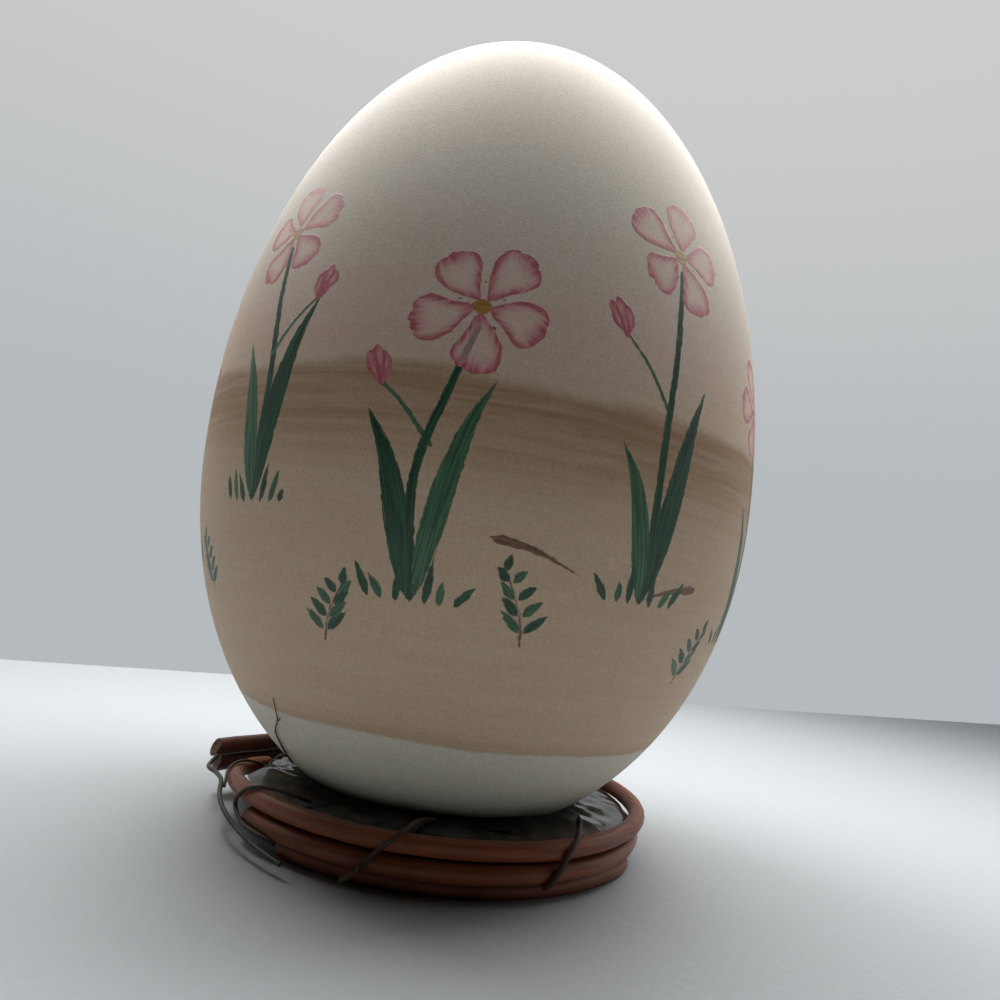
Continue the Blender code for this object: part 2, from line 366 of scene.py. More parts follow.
def brush_stroke() -> bpy.types.NodeTree:
    """One layer of brush strokes: along, across and half width in mm, and the pigment's number with a seed."""
    wires, given, out = new_group(
        "brush stroke",
        {"Under Colour": (0.7, 0.6, 0.5), "Under Height": 0.0, "Stroke": (0.0, 0.0, -20.0), "Seed": 0.0, "Dryness": 0.3},
        ("Colour", "Height"),
    )
    along, across, half = wires.split(given["Stroke"])
    apart = wires.number("MULTIPLY", wires.number("FRACT", given["Seed"]), 400.0)
    tremble = wires.noise(wires.join(wires.number("MULTIPLY", along, 0.9), wires.number("MULTIPLY", across, 0.9), apart))
    bristle = wires.noise(
        wires.join(wires.number("MULTIPLY", along, 0.10), wires.number("MULTIPLY", across, 2.6), apart), 1.0, 3.0, 0.6
    )
    edge = wires.number("SUBTRACT", half, wires.number("ABSOLUTE", across))
    edge = wires.number("ADD", edge, wires.number("MULTIPLY", wires.number("SUBTRACT", tremble, 0.5), 0.55))
    rim = wires.ease(edge, 0.0, 0.16)
    loaded = wires.number("ADD", bristle, wires.ease(edge, 0.0, 0.9, 0.0, 0.3))
    covered = wires.ease(loaded, wires.number("ADD", given["Dryness"], 0.02), wires.number("ADD", given["Dryness"], 0.22))
    mask = wires.number("MULTIPLY", rim, covered)
    tones = [wires.palette(given["Seed"], [pigment.value[deep] for pigment in Pigment]) for deep in (0, 1)]
    colour = wires.blend(wires.ease(bristle, 0.36, 0.66), tones[1], tones[0])
    wires.put(out.inputs["Colour"], wires.blend(mask, given["Under Colour"], colour))
    body = wires.number("MULTIPLY", mask, wires.ease(bristle, 0.2, 0.8, 0.5, 1.0))
    wires.put(out.inputs["Height"], wires.number("MAXIMUM", given["Under Height"], body))
    return wires.tree


def petal_stroke() -> bpy.types.NodeTree:
    """One layer of petals, whose rose rim fades to a thin blush; along is out of 10, and the rest in mm."""
    wires, given, out = new_group(
        "petal stroke",
        {"Under Colour": (0.7, 0.6, 0.5), "Under Height": 0.0, "Stroke": (0.0, 0.0, -20.0), "Seed": 0.0},
        ("Colour", "Height"),
    )
    along, across, half = wires.split(given["Stroke"])
    apart = wires.number("MULTIPLY", wires.number("FRACT", given["Seed"]), 400.0)
    wobble = wires.noise(wires.join(wires.number("MULTIPLY", along, 0.35), wires.number("MULTIPLY", across, 0.35), apart))
    fine = wires.noise(wires.join(wires.number("MULTIPLY", along, 0.14), wires.number("MULTIPLY", across, 1.5), apart), 1.0, 4.0, 0.6)
    edge = wires.number("SUBTRACT", half, wires.number("ABSOLUTE", across))
    edge = wires.number("ADD", edge, wires.number("MULTIPLY", wires.number("SUBTRACT", wobble, 0.5), 1.1))
    inside = wires.ease(edge, 0.0, 0.22)
    side = wires.ease(edge, 2.6, 0.0)
    tip = wires.ease(along, 5.6, 10.0)
    heart = wires.ease(along, 3.4, 0.4, 0.0, 0.8)
    rim = wires.number("MAXIMUM", wires.number("MAXIMUM", side, tip), heart)
    load = wires.number("MULTIPLY", rim, wires.ease(fine, 0.2, 0.7, 0.55, 1.15), clamp=True)
    colour = wires.blend(load, paint(240, 206, 196), paint(206, 106, 116))
    colour = wires.blend(wires.ease(load, 0.62, 1.0, 0.0, 0.55), colour, paint(178, 76, 92))
    mask = wires.number("MULTIPLY", inside, wires.ease(load, 0.0, 0.8, 0.42, 0.96))
    wires.put(out.inputs["Colour"], wires.blend(mask, given["Under Colour"], colour))
    body = wires.number("MULTIPLY", inside, wires.number("MULTIPLY", load, 0.7))
    wires.put(out.inputs["Height"], wires.number("MAXIMUM", given["Under Height"], body))
    return wires.tree


def shell_grain() -> bpy.types.NodeTree:
    """The fine tooth of an eggshell, with shallow pores and a faint mottle."""
    wires, given, out = new_group(
        "shell grain",
        {"Place": (0.0, 0.0, 0.0), "Colour": (0.7, 0.6, 0.5), "Tooth": 1.0, "Pores": 0.5},
        ("Colour", "Height"),
    )
    tooth = wires.noise(given["Place"], 2.4, 4.0, 0.62)
    mottle = wires.noise(given["Place"], 0.7, 3.0, 0.6)
    cells = wires.add("ShaderNodeTexVoronoi", {"Vector": given["Place"], "Scale": 0.42}, feature="F1")
    pit = wires.ease(cells.outputs["Distance"], 0.05, 0.11, 1.0, 0.0)
    pit = wires.number("MULTIPLY", pit, given["Pores"])
    light = wires.blend(wires.ease(mottle, 0.35, 0.7, 0.0, 0.16), given["Colour"], wires.blend(1.0, given["Colour"], (0.80, 0.74, 0.66), "MULTIPLY"))
    grain = wires.ease(tooth, 0.30, 0.70, 0.90, 1.07)
    toned = wires.vector("SCALE", light, grain)
    pitted = wires.blend(wires.number("MULTIPLY", pit, 0.35), toned, wires.vector("SCALE", given["Colour"], 0.6))
    wires.put(out.inputs["Colour"], pitted)
    relief = wires.number("SUBTRACT", wires.number("MULTIPLY", tooth, given["Tooth"]), wires.number("MULTIPLY", pit, 1.2))
    wires.put(out.inputs["Height"], relief)
    return wires.tree


# Finishes


@dataclass(frozen=True)
class BarkFinish:
    """Bark on a cane or a tendril."""

    name: str
    colour: Colour
    dark: Colour
    worn: Colour
    streaks: float = 0.6
    wear: float = 0.3
    relief: float = 0.00006
    rougher: float = 0.0

    def material(self) -> bpy.types.Material:
        """Returns the finish as a material, which reads the place along and round the stick."""
        material, wires, shader = start_material(self.name)
        place = wires.add("ShaderNodeAttribute", attribute_name=BARK_PLACE).outputs["Vector"]
        inputs = {
            "Place": place,
            "Colour": self.colour,
            "Dark Colour": self.dark,
            "Worn Colour": self.worn,
            "Streaks": self.streaks,
            "Wear": self.wear,
        }
        grain = wires.add("ShaderNodeGroup", node_tree=shared("bark grain", bark_grain))
        for label, value in inputs.items():
            wires.put(grain.inputs[label], value)
        bump = wires.add("ShaderNodeBump", {"Height": grain.outputs["Height"], "Strength": 0.8, "Distance": self.relief})
        wires.put(shader.inputs["Base Color"], grain.outputs["Colour"])
        wires.put(shader.inputs["Roughness"], wires.number("ADD", grain.outputs["Roughness"], self.rougher))
        wires.put(shader.inputs["Normal"], bump.outputs[0])
        return material


@dataclass(frozen=True)
class CutFinish:
    """The face of a cut cane, with open pores and a darker pith."""

    name: str = "cut wood"
    colour: Colour = paint(122, 84, 64)
    dark: Colour = paint(52, 30, 24)

    def material(self) -> bpy.types.Material:
        """Returns the finish as a material."""
        material, wires, shader = start_material(self.name)
        place = wires.vector("SCALE", wires.add("ShaderNodeTexCoord").outputs["Object"], 1000.0)
        pores = wires.noise(place, 4.5, 2.0, 0.6)
        tone = wires.noise(place, 0.9, 2.0)
        colour = wires.blend(wires.ease(pores, 0.42, 0.62), self.dark, self.colour)
        wires.put(shader.inputs["Base Color"], wires.blend(wires.ease(tone, 0.4, 0.7, 0.0, 0.5), colour, self.dark))
        wires.put(shader.inputs["Roughness"], wires.ease(pores, 0.3, 0.7, 0.9, 0.7))
        bump = wires.add("ShaderNodeBump", {"Height": pores, "Strength": 0.7, "Distance": 0.00008})
        wires.put(shader.inputs["Normal"], bump.outputs[0])
        return material


@dataclass(frozen=True)
class GlueFinish:
    """Clear glue over the dark canes. Its dark browns are partly painted shade of the gap under the shell and partly
    the dark canes beneath, and its bluish grey patches are a painted reflection of the pale backdrop.
    """

    name: str = "dried glue"
    # Painted shade: the clear and brown tones are kept dark for the shade in the gap under the shell, as well as for
    # the dark canes beneath.
    clear: Colour = paint(96, 82, 74)
    brown: Colour = paint(52, 34, 28)
    # Painted reflection: a bluish grey that stands in for the pale backdrop mirrored in the glue.
    cloudy: Colour = paint(112, 124, 130)

    def material(self) -> bpy.types.Material:
        """Returns the finish as a material."""
        material, wires, shader = start_material(self.name)
        place = wires.vector("SCALE", wires.add("ShaderNodeTexCoord").outputs["Object"], 1000.0)
        reflection_patches = wires.noise(place, 0.11, 3.0, 0.55)
        swirls = wires.noise(wires.vector("MULTIPLY", place, (0.35, 0.35, 0.8)), 1.0, 3.0, 0.6)
        # Mixes the two dark tones in swirls: painted shade together with the colour of the canes under the glue.
        colour = wires.blend(wires.ease(swirls, 0.4, 0.6), self.brown, self.clear)
        # Lays the bluish painted reflection of the backdrop in patches; the roughness below makes the same patches a
        # little rougher.
        wires.put(shader.inputs["Base Color"], wires.blend(wires.ease(reflection_patches, 0.56, 0.66, 0.0, 0.75), colour, self.cloudy))
        wires.put(shader.inputs["Roughness"], wires.ease(reflection_patches, 0.4, 0.7, 0.04, 0.16))
        bump = wires.add("ShaderNodeBump", {"Height": swirls, "Strength": 0.35, "Distance": 0.0004})
        wires.put(shader.inputs["Normal"], bump.outputs[0])
        shader.inputs["Transmission Weight"].default_value = 0.45
        shader.inputs["IOR"].default_value = 1.47
        return material


@dataclass(frozen=True)
class ShellFinish:
    """The painted shell: its own cream ground, the sand-coloured washes, and the layers of brush work."""

    name: str = "painted shell"
    ground: Colour = paint(232, 220, 203)
    bare: Colour = paint(226, 220, 202)
    blush: Colour = paint(226, 190, 168)
    sand: Colour = paint(214, 184, 152)
    tan: Colour = paint(164, 122, 84)

    def material(self, stems: Sequence[str], petals: Sequence[str], details: Sequence[str]) -> bpy.types.Material:
        """Makes the material.

        Args:
            stems: The attributes that hold the layers of stems and leaves.
            petals: Those of the petals.
            details: Those of the small marks on top.

        Returns:
            The material.
        """
        material, wires, shader = start_material(self.name)
        place = wires.vector("SCALE", wires.add("ShaderNodeTexCoord").outputs["Object"], 1000.0)
        colour = self.washes(wires, place)
        height: Any = 0.0
        for group, layers in ((brush_stroke, stems), (petal_stroke, petals), (brush_stroke, details)):
            for layer in layers:
                read = wires.add("ShaderNodeAttribute", attribute_name=layer)
                step = wires.add("ShaderNodeGroup", node_tree=shared(group.__name__.replace("_", " "), group))
                wires.put(step.inputs["Under Colour"], colour)
                wires.put(step.inputs["Under Height"], height)
                wires.put(step.inputs["Stroke"], read.outputs["Vector"])
                wires.put(step.inputs["Seed"], read.outputs["Alpha"])
                colour, height = step.outputs["Colour"], step.outputs["Height"]
        grain = wires.add("ShaderNodeGroup", node_tree=shared("shell grain", shell_grain))
        wires.put(grain.inputs["Place"], place)
        wires.put(grain.inputs["Colour"], colour)
        tooth = wires.add("ShaderNodeBump", {"Height": grain.outputs["Height"], "Strength": 0.5, "Distance": 0.00010})
        relief = wires.add("ShaderNodeBump", {"Height": height, "Strength": 0.6, "Distance": 0.00012, "Normal": tooth.outputs[0]})
        wires.put(shader.inputs["Base Color"], grain.outputs["Colour"])
        wires.put(shader.inputs["Roughness"], wires.ease(height, 0.0, 1.0, 0.66, 0.42))
        wires.put(shader.inputs["Normal"], relief.outputs[0])
        return material

    def washes(self, wires: Wiring, place: Socket) -> Socket:
        """Lays the washes.

        Args:
            wires: The material's wiring.
            place: Where the shell is read, in mm.

        Returns:
            The colour under the brush work.
        """
        layers = (
            (self.blush, {"Low": 72.0, "Low Fade": 12.0, "High": 112.0, "High Fade": 30.0, "Strength": 0.75, "Streaks": 0.25, "Sway": 10.0}),
            (self.sand, {"Low": 22.9, "Low Fade": 0.7, "High": 88.0, "High Fade": 18.0, "Strength": 0.9, "Streaks": 0.16, "Sway": 2.4}),
            (self.tan, {"Low": 58.0, "Low Fade": 17.0, "High": 79.5, "High Fade": 2.6, "Strength": 0.8, "Streaks": 0.35, "Sway": 9.0}),
            (self.tan, {"Low": 22.8, "Low Fade": 0.5, "High": 25.6, "High Fade": 2.6, "Strength": 0.26, "Streaks": 0.3, "Sway": 2.4}),
        )
        _, _, height = wires.split(place)
        colour = wires.blend(wires.ease(height, 18.0, 30.0), self.bare, self.ground)
        for wash, values in layers:
            step = wires.add("ShaderNodeGroup", node_tree=shared("level wash", level_wash))
            for label, value in {"Under Colour": colour, "Wash Colour": wash, "Place": place, **values}.items():
                wires.put(step.inputs[label], value)
            colour = step.outputs["Colour"]
        return colour


# Making meshes


def around(stations: np.ndarray) -> np.ndarray:
    """Turns rows of angle, radius and height into points."""
    turn = np.radians(stations[:, 0])
    return np.stack([stations[:, 1] * np.cos(turn), stations[:, 1] * np.sin(turn), stations[:, 2]], axis=1)


def smooth_stations(stations: Sequence[Station], spacing: float) -> np.ndarray:
    """Adds stations between the given ones, on a cubic from each to the next.

    Args:
        stations: Rows of angle, radius and height.
        spacing: How far apart the new ones are, in mm.

    Returns:
        The new rows.
    """
    rows = np.array(stations, float)
    mean = (rows[:-1, 1] + rows[1:, 1]) / 2
    change = np.diff(rows, axis=0)
    change[:, 0] = np.radians(change[:, 0]) * mean
    knots = np.concatenate([[0.0], np.cumsum(np.linalg.norm(change, axis=1))])
    before = np.maximum(np.arange(len(rows)) - 1, 0)
    after = np.minimum(np.arange(len(rows)) + 1, len(rows) - 1)
    slopes = (rows[after] - rows[before]) / (knots[after] - knots[before])[:, None]
    made = []
    for index, length in enumerate(np.diff(knots)):
        count = max(1, round(length / spacing))
        share = (np.arange(count) / count)[:, None]
        leave, arrive = slopes[index] * length, slopes[index + 1] * length
        step = rows[index + 1] - rows[index]
        made.append((((leave + arrive - 2 * step) * share + 3 * step - 2 * leave - arrive) * share + leave) * share + rows[index])
    made.append(rows[-1:])
    return np.concatenate(made)


def new_object(name: str, mesh: bpy.types.Mesh) -> bpy.types.Object:
    """Puts a mesh in the scene as an object at the origin."""
    made = bpy.data.objects.new(name, mesh)
    bpy.context.scene.collection.objects.link(made)
    return made


def settle(made: bpy.types.Object, nodes: Sequence[str]) -> bpy.types.Object:
    """Joins a finished piece to the frame.

    Args:
        made: The piece.
        nodes: The CAD nodes that it stands for.

    Returns:
        The piece.
    """
    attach(made, BODY)
    if nodes:
        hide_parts(*nodes)
    log.info("%s: %d faces", made.name, len(made.data.polygons))
    return made


def stick_tree() -> bpy.types.NodeTree:
    """A round stick along each line of a path, with bark ridges, slow swells and slanted cut ends."""
    tree = bpy.data.node_groups.new("stick along its path", "GeometryNodeTree")
    sizes = {
        "Diameter": ("Float", 0.003),
        "Step": ("Float", 0.001),
        "Sides": ("Int", 20),
        "Ridge": ("Float", 0.00005),
        "Swell": ("Float", 0.0001),
        "Seed": ("Int", 1),
        "Bark": ("Material", None),
    }
    tree.interface.new_socket("Path", in_out="INPUT", socket_type="NodeSocketGeometry")
    for label, (kind, start) in sizes.items():
        socket = tree.interface.new_socket(label, in_out="INPUT", socket_type=f"NodeSocket{kind}")
        if start is not None:
            socket.default_value = start
    tree.interface.new_socket("Stick", in_out="OUTPUT", socket_type="NodeSocketGeometry")
    wires = Wiring(tree)
    given = wires.add("NodeGroupInput").outputs
    girth = wires.add("GeometryNodeInputNamedAttribute", {"Name": "girth"}, data_type="FLOAT").outputs[0]
    lean = wires.add("GeometryNodeInputNamedAttribute", {"Name": "lean"}, data_type="FLOAT_VECTOR").outputs[0]
    curve = wires.add("GeometryNodeMeshToCurve", {0: given["Path"]}).outputs[0]
    radius = wires.number("MULTIPLY", girth, wires.number("MULTIPLY", given["Diameter"], 0.5))
    curve = wires.add("GeometryNodeResampleCurve", {"Curve": curve, "Length": given["Step"]}, mode="LENGTH").outputs[0]
    middle = wires.add("GeometryNodeCaptureAttribute", {"Geometry": curve}, domain="POINT")
    for kind, label in (("VECTOR", "centre"), ("VECTOR", "heading"), ("FLOAT", "along"), ("VECTOR", "lean")):
        middle.capture_items.new(kind, label)
    wires.put(middle.inputs["centre"], wires.add("GeometryNodeInputPosition").outputs[0])
    wires.put(middle.inputs["heading"], wires.add("GeometryNodeInputTangent").outputs[0])
    wires.put(middle.inputs["along"], wires.add("GeometryNodeSplineParameter").outputs["Length"])
    wires.put(middle.inputs["lean"], lean)
    circle = wires.add("GeometryNodeCurvePrimitiveCircle", {"Resolution": given["Sides"], "Radius": 1.0}).outputs[0]
    profile = wires.add("GeometryNodeCaptureAttribute", {"Geometry": circle}, domain="POINT")
    profile.capture_items.new("VECTOR", "turn")
    wires.put(profile.inputs["turn"], wires.add("GeometryNodeInputPosition").outputs[0])
    swept = wires.add(
        "GeometryNodeCurveToMesh",
        {"Curve": middle.outputs["Geometry"], "Profile Curve": profile.outputs["Geometry"], "Scale": radius, "Fill Caps": True},
    ).outputs[0]
    turn_x, turn_y, _ = wires.split(profile.outputs["turn"])
    girth_mm = wires.number("MULTIPLY", given["Diameter"], 500.0)
    along = wires.number("ADD", wires.number("MULTIPLY", middle.outputs["along"], 1000.0), wires.number("MULTIPLY", given["Seed"], 173.0))
    bark = wires.join(wires.number("MULTIPLY", turn_x, girth_mm), wires.number("MULTIPLY", turn_y, girth_mm), along)
    position = wires.add("GeometryNodeInputPosition").outputs[0]
    outward = wires.vector("NORMALIZE", wires.vector("SUBTRACT", position, middle.outputs["centre"]))
    ridges = wires.noise(wires.vector("MULTIPLY", bark, (1.5, 1.5, 0.08)), 1.0, 3.0, 0.6)
    swells = wires.noise(wires.vector("MULTIPLY", bark, (0.10, 0.10, 0.12)), 1.0, 2.0, 0.5)
    rise = wires.number(
        "ADD",
        wires.number("MULTIPLY", wires.number("SUBTRACT", ridges, 0.5), given["Ridge"]),
        wires.number("MULTIPLY", wires.number("SUBTRACT", swells, 0.5), given["Swell"]),
    )
    ahead = wires.vector("DOT_PRODUCT", middle.outputs["lean"], outward)
    slant = wires.vector("SCALE", middle.outputs["heading"], ahead)
    offset = wires.vector("ADD", wires.vector("SCALE", outward, rise), slant)
    swept = wires.add("GeometryNodeSetPosition", {"Geometry": swept, "Offset": offset}).outputs[0]
    x, y, z = wires.split(wires.add("GeometryNodeInputPosition").outputs[0])
    on_floor = wires.join(x, y, wires.number("MAXIMUM", z, 0.0))
    swept = wires.add("GeometryNodeSetPosition", {"Geometry": swept, "Position": on_floor}).outputs[0]
    stored = wires.add("GeometryNodeStoreNamedAttribute", {"Geometry": swept, "Name": BARK_PLACE}, data_type="FLOAT_VECTOR", domain="POINT")
    wires.put(stored.inputs["Value"], bark)
    smooth = wires.add("GeometryNodeSetShadeSmooth", {"Geometry": stored.outputs[0]}).outputs[0]
    real = wires.add("GeometryNodeRealizeInstances", {"Geometry": smooth}).outputs[0]
    finished = wires.add("GeometryNodeSetMaterial", {"Geometry": real, "Material": given["Bark"]}).outputs[0]
    wires.put(wires.add("NodeGroupOutput").inputs["Stick"], finished)
    return tree


def grown(name: str, base: bpy.types.Mesh, tree: bpy.types.NodeTree, sizes: dict[str, Any]) -> bpy.types.Object:
    """Runs a Geometry Nodes tree on a mesh and keeps the result as a plain mesh.

    Args:
        name: The new object's name.
        base: The mesh that the tree starts from.
        tree: The tree.
        sizes: A value for each of its named inputs.

    Returns:
        The object.
    """
    source = new_object(f"{name}_path", base)
    modifier = source.modifiers.new("grow", "NODES")
    modifier.node_group = tree
    for socket in tree.interface.items_tree:
        if socket.item_type == "SOCKET" and socket.name in sizes:
            modifier[socket.identifier] = sizes[socket.name]
    graph = bpy.context.evaluated_depsgraph_get()
    mesh = bpy.data.meshes.new_from_object(source.evaluated_get(graph), preserve_all_data_layers=True, depsgraph=graph)
    bpy.data.objects.remove(source, do_unlink=True)
    mesh.name = name
    return new_object(name, mesh)


@dataclass
class Line:
    """One line of a stick: its stations, its thickness at both ends as a share, and which sides its ends run past."""

    stations: list[Station]
    near: float = 1.0
    far: float = 1.0
    lean_near: Station = (0.0, 0.0, 0.0)
    lean_far: Station = (0.0, 0.0, 0.0)
    waver: float = 0.0


@dataclass
class Stick:
    """A cane, tie or tendril that follows its path."""

    name: str
    lines: list[Line]
    diameter: float
    slot: str
    nodes: tuple[str, ...] = ()
    step: float = 1.0
    sides: int = 20
    ridge: float = 0.09
    swell: float = 0.22
    seed: int = 1
    cut: bool = True
    bark: str = ""

    def path(self) -> bpy.types.Mesh:
        """Returns the lines as a mesh of edges with the girth and lean of each point."""
        points, edges, girths, leans = [], [], [], []
        chance = np.random.default_rng(self.seed)
        for line in self.lines:
            route = around(smooth_stations(line.stations, self.step * 0.6))
            share = np.linspace(0.0, 1.0, len(route))
            phase = chance.uniform(0.0, math.tau, 3)
            length = len(route) * self.step * 0.6
            for axis in range(3):
                route[:, axis] += line.waver * np.sin(share * length / 5.3 + phase[axis]) * np.sin(math.pi * share)
            edges += [(len(points) + index, len(points) + index + 1) for index in range(len(route) - 1)]
            points += [tuple(point) for point in route * MM]
            girths += list(line.near + (line.far - line.near) * share)
            lean = np.zeros((len(route), 3))
            lean[0], lean[-1] = -np.array(line.lean_near) * MM, np.array(line.lean_far) * MM
            leans += lean.ravel().tolist()
        mesh = bpy.data.meshes.new(f"{self.name}_path")
        mesh.from_pydata(points, edges, [])
        mesh.attributes.new("girth", "FLOAT", "POINT").data.foreach_set("value", girths)
        mesh.attributes.new("lean", "FLOAT_VECTOR", "POINT").data.foreach_set("vector", leans)
        return mesh

    def build(self, tree: bpy.types.NodeTree, bark: bpy.types.Material, cut: bpy.types.Material) -> bpy.types.Object:
        """Builds the stick.

        Args:
            tree: The tree that sweeps it.
            bark: Its bark.
            cut: The finish of its cut ends.

        Returns:
            The piece.
        """
        sizes = {
            "Diameter": self.diameter * MM,
            "Step": self.step * MM,
            "Sides": self.sides,
            "Ridge": self.ridge * MM,
            "Swell": self.swell * MM,
            "Seed": self.seed,
            "Bark": bark,
        }
        made = grown(self.name, self.path(), tree, sizes)
        if self.cut:
            made.data.materials.append(cut)
            self.dress_ends(made.data)
        return settle(made, self.nodes)

    def dress_ends(self, mesh: bpy.types.Mesh) -> None:
        """Rounds the rim of each cut end and sinks its pith."""
        shape = bmesh.new()
        shape.from_mesh(mesh)
        radius = self.diameter * MM / 2
        for face in [face for face in shape.faces if len(face.verts) > 4]:
            for thickness, depth in ((0.10 * radius, 0.06 * radius), (0.38 * radius, -0.03 * radius), (0.22 * radius, -0.10 * radius)):
                bmesh.ops.inset_region(shape, faces=[face], thickness=thickness, depth=depth, use_even_offset=True)
                for around_face in {other for edge in face.edges for other in edge.link_faces}:
                    around_face.material_index = 1
        shape.to_mesh(mesh)
        shape.free()


# The egg


@dataclass(frozen=True)
class EggForm:
    """The form of the shell: two half ovals of different length that meet at the girth."""

    breadth: float = 110.0
    girth_height: float = 72.4
    narrow_end: float = 90.2
    blunt_end: float = 72.0
    narrow_fullness: float = 2.03
    blunt_fullness: float = 2.2

    def radius(self, height: np.ndarray) -> np.ndarray:
        """Returns how far the shell is from its axis at each height."""
        above = np.asarray(height, float) - self.girth_height
        share = np.where(above >= 0, above / self.narrow_end, -above / self.blunt_end).clip(0.0, 1.0)
        fullness = np.where(above >= 0, self.narrow_fullness, self.blunt_fullness)
        return self.breadth / 2 * np.sqrt(1.0 - share**fullness)

    def places(self, angle: np.ndarray, height: np.ndarray) -> np.ndarray:
        """Returns the points of the shell at each angle and height."""
        return around(np.stack([angle, self.radius(height), height], axis=1))

    def normals(self, places: np.ndarray) -> np.ndarray:
        """Returns which way the shell faces at each of its points."""
        height = places[:, 2].clip(self.girth_height - self.blunt_end + 0.01, self.girth_height + self.narrow_end - 0.01)
        slope = (self.radius(height + 0.005) - self.radius(height - 0.005)) / 0.01
        flat = places[:, :2] / np.maximum(np.hypot(places[:, 0], places[:, 1]), 1e-6)[:, None]
        facing = np.concatenate([flat, -slope[:, None]], axis=1)
        return facing / np.linalg.norm(facing, axis=1)[:, None]

    def row_heights(self, close: float, wide: float, low: float, high: float) -> np.ndarray:
        """Chooses the heights of the mesh's rows.

        Args:
            close: The spacing in the painted part, in mm along the shell.
            wide: The spacing above and below it.
            low: Where the painted part starts.
            high: Where it ends.

        Returns:
            The heights, without the two poles.
        """
        turn = np.linspace(math.pi, 0.0, 4001)
        reach = np.where(turn > math.pi / 2, self.blunt_end, self.narrow_end)
        heights = self.girth_height + reach * np.cos(turn)
        steps = np.hypot(np.diff(self.radius(heights)), np.diff(heights))
        spacing = np.where((heights[1:] > low) & (heights[1:] < high), close, wide)
        count = np.concatenate([[0.0], np.cumsum(steps / spacing)])
        rows = round(count[-1])
        return np.interp(np.arange(1, rows) * count[-1] / rows, count, heights)


class StrokeShape(Enum):
    """How a brush stroke's half width changes from its start to its end."""

    LEAF = "leaf"
    STEM = "stem"
    PETAL = "petal"
    DAB = "dab"
    TAIL = "tail"

    def width(self, share: np.ndarray) -> np.ndarray:
        """Returns the half width at each share of the way, out of its widest."""
        if self is StrokeShape.LEAF:
            return np.sin(math.pi * share**0.72) ** 0.85
        if self is StrokeShape.STEM:
            return 1.0 - 0.35 * share
        if self is StrokeShape.PETAL:
            return (0.16 + 0.84 * np.sin(math.pi / 2 * share.clip(0, 1) ** 1.1)) * np.sqrt((1.0 - share**4.5).clip(0, 1))
        if self is StrokeShape.DAB:
            return np.sqrt((1.0 - (2 * share - 1) ** 2).clip(0, 1))
        return (share * 9).clip(0, 1) * (1.0 - share) ** 0.8


@dataclass(frozen=True)
class BrushStroke:
    """A brush stroke on the shell: its line as angles and heights, its half width in mm, and its pigment."""

    line: tuple[tuple[float, float], ...]
    half_width: float
    shape: StrokeShape
    pigment: Pigment
    seed: float
    along_out_of: float | None = None


class StrokeField:
    """Layers of brush strokes, each stored on the shell's points, in which no two strokes touch."""

    MARGIN = 1.2

    def __init__(self, name: str, form: EggForm, places: np.ndarray) -> None:
        """Starts with no layer.

        Args:
            name: What the layers' attributes are called.
            form: The form of the shell.
            places: The shell's points in mm.
        """
        self.name = name
        self.form = form
        self.places = places
        self.normals = form.normals(places)
        self.layers: list[np.ndarray] = []
        self.taken: list[np.ndarray] = []

    def lay(self, stroke: BrushStroke) -> None:
        """Adds one stroke over all that it touches.

        Args:
            stroke: The stroke.
        """
        stations = [(angle, float(self.form.radius(height)), height) for angle, height in stroke.line]
        rows = smooth_stations(stations, 0.6)
        route = self.form.places(rows[:, 0], rows[:, 2])
        reach = stroke.half_width + 2.5
        inside = (self.places > route.min(0) - reach) & (self.places < route.max(0) + reach)
        near = np.flatnonzero(inside.all(axis=1))
        legs = np.diff(route, axis=0)
        lengths = np.linalg.norm(legs, axis=1)
        headings = legs / lengths[:, None]
        offset = self.places[near, None] - route[None, :-1]
        ahead = np.einsum("vsk,sk->vs", offset, headings)
        held = ahead.clip(0.0, lengths)
        gap = np.linalg.norm(offset - held[..., None] * headings, axis=2)
        leg = gap.argmin(axis=1)
        row = np.arange(len(near))
        start, end = leg == 0, leg == len(legs) - 1
        share = np.where(start, np.minimum(ahead[row, leg], lengths[leg]), held[row, leg])
        share = np.where(end, np.maximum(ahead[row, leg], 0.0 if len(legs) > 1 else -9.0), share)
        total = lengths.sum()
        along = np.concatenate([[0.0], np.cumsum(lengths)])[leg] + share
        sideways = np.cross(self.normals[near], headings[leg])
        across = ((offset[row, leg] - share[:, None] * headings[leg]) * sideways).sum(axis=1)
        past = np.maximum(-along, along - total).clip(0.0)
        half = stroke.half_width * stroke.shape.width((along / total).clip(0.0, 1.0)) - 1.2 * past
        zone = half - np.abs(across) > -self.MARGIN
        hit = near[zone]
        level = next((index for index, used in enumerate(self.taken) if not used[hit].any()), len(self.layers))
        if level == len(self.layers):
            blank = np.zeros((len(self.places), 4), np.float32)
            blank[:, 2] = -20.0
            self.layers.append(blank)
            self.taken.append(np.zeros(len(self.places), bool))
        scale = stroke.along_out_of / total if stroke.along_out_of else 1.0
        seed = stroke.pigment.number + stroke.seed % 1.0
        values = (along * scale, across, half, np.full(len(near), seed))
        self.layers[level][hit] = np.stack(values, axis=1)[zone]
        self.taken[level][hit] = True

    def store(self, mesh: bpy.types.Mesh) -> list[str]:
        """Writes the layers to a mesh.

        Args:
            mesh: The shell's mesh.

        Returns:
            The attributes' names, from the lowest layer up.
        """
        names = []
        for index, layer in enumerate(self.layers):
            name = f"{self.name}_{index + 1}"
            mesh.attributes.new(name, "FLOAT_COLOR", "POINT").data.foreach_set("color", layer.ravel())
            names.append(name)
        return names


